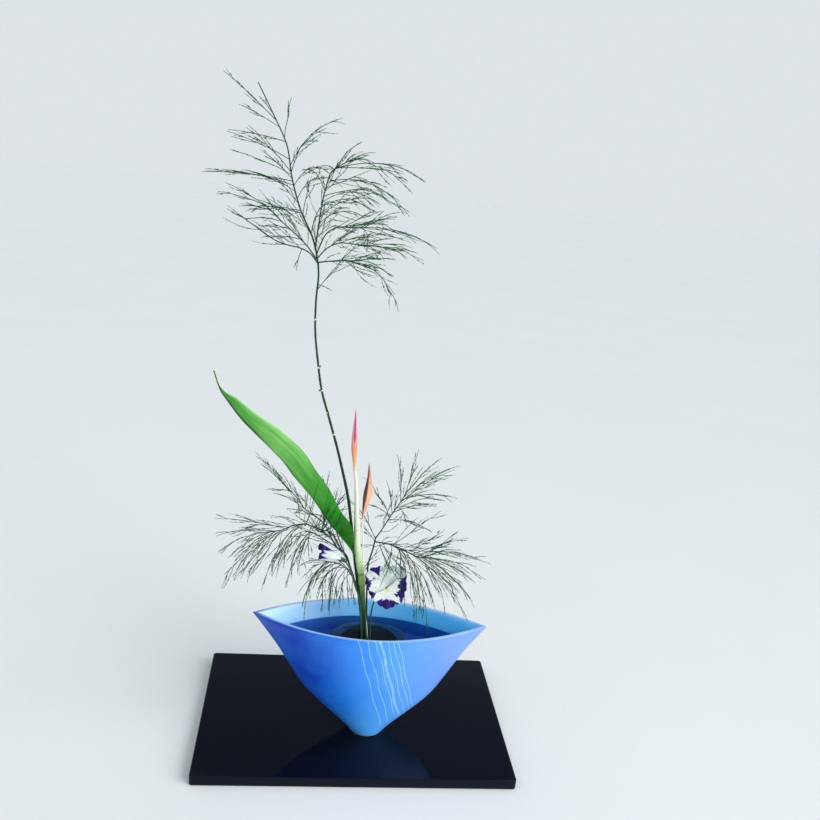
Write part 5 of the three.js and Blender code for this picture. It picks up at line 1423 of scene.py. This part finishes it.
def studio():
    """A plain pale floor and surround, soft light from the right and a little from the front."""
    radius, count = 14.0, 96
    mesh = bpy.data.meshes.new("floor")
    mesh.from_pydata(circle(radius, 0, count).tolist(), [], [tuple(range(count))])
    look = Look("pale_floor", Roughness=0.9, Specular_IOR_Level=0.1)
    look.paint(look.ramp(look.noise(3, 3, 0.5), {0.3: (217, 220, 221), 0.7: (219, 222, 223)}))
    mesh.materials.append(look.material)
    floor = shown("floor", mesh)
    surround()
    lamp("window", "SUN", 3.1, (1.0, 0.99, 0.97), (0, 0, 0), (1.0, -0.62, 0.42),
         angle=math.radians(55))
    lamp("front", "AREA", 12, (1.0, 1.0, 1.0), (1.3, -1.6, 1.5), (1.3, -1.6, 1.2),
         shape="DISK", size=1.2)
    bpy.context.scene.view_settings.view_transform = "Standard"


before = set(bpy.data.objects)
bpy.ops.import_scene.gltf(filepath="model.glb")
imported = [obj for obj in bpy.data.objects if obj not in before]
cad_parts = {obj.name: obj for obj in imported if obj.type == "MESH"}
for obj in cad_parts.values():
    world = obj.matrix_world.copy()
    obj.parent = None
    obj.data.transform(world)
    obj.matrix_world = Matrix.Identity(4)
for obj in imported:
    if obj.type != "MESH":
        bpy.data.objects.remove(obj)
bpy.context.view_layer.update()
FERN_LOOK = fern_look()
PETAL_LOOK = petal_look()
PANSY_STALK = green_stalk("pansy_stalk", (24, 58, 36), (48, 88, 52), (20, 44, 30))
PALE_STALK = green_stalk("bract_stalk", (214, 220, 202), (236, 238, 226), (190, 198, 166), 0.42)
camera()
studio()
build_board()
build_bowl()
build_dish()
build_kenzan()
build_water()
build_heliconia_stem()
build_leaf()
build_bract("bract_tall", "heliconia_bract_tall", TALL_BRACT)
build_bract("bract_short", "heliconia_bract_short", SHORT_BRACT)
build_plain_stem("bract_stalk", "bract_stem", BRACT_STEM, (1.1, 0.9), PALE_STALK)
build_plain_stem("pansy_stalk_large", "pansy_large_stem", LARGE_PANSY_STEM,
                 (1.3, 1.1), PANSY_STALK)
build_plain_stem("pansy_stalk_small", "pansy_small_stem", SMALL_PANSY_STEM,
                 (1.3, 1), PANSY_STALK)
build_pansy("pansy_bloom_large", "pansy_large", LARGE_PANSY, OPEN_VIOLET)
build_pansy("pansy_bloom_small", "pansy_small", SMALL_PANSY, CUP_VIOLET)
nothing = np.zeros((0, 4))
near = obstacles()
build_asparagus("asparagus_plume_tall", "asparagus_tall", ASPARAGUS_TALL, nothing, 100)
build_asparagus("asparagus_plume_right", "asparagus_right", ASPARAGUS_RIGHT, near, 300)
build_asparagus("asparagus_plume_left", "asparagus_left", ASPARAGUS_LEFT, near, 500)
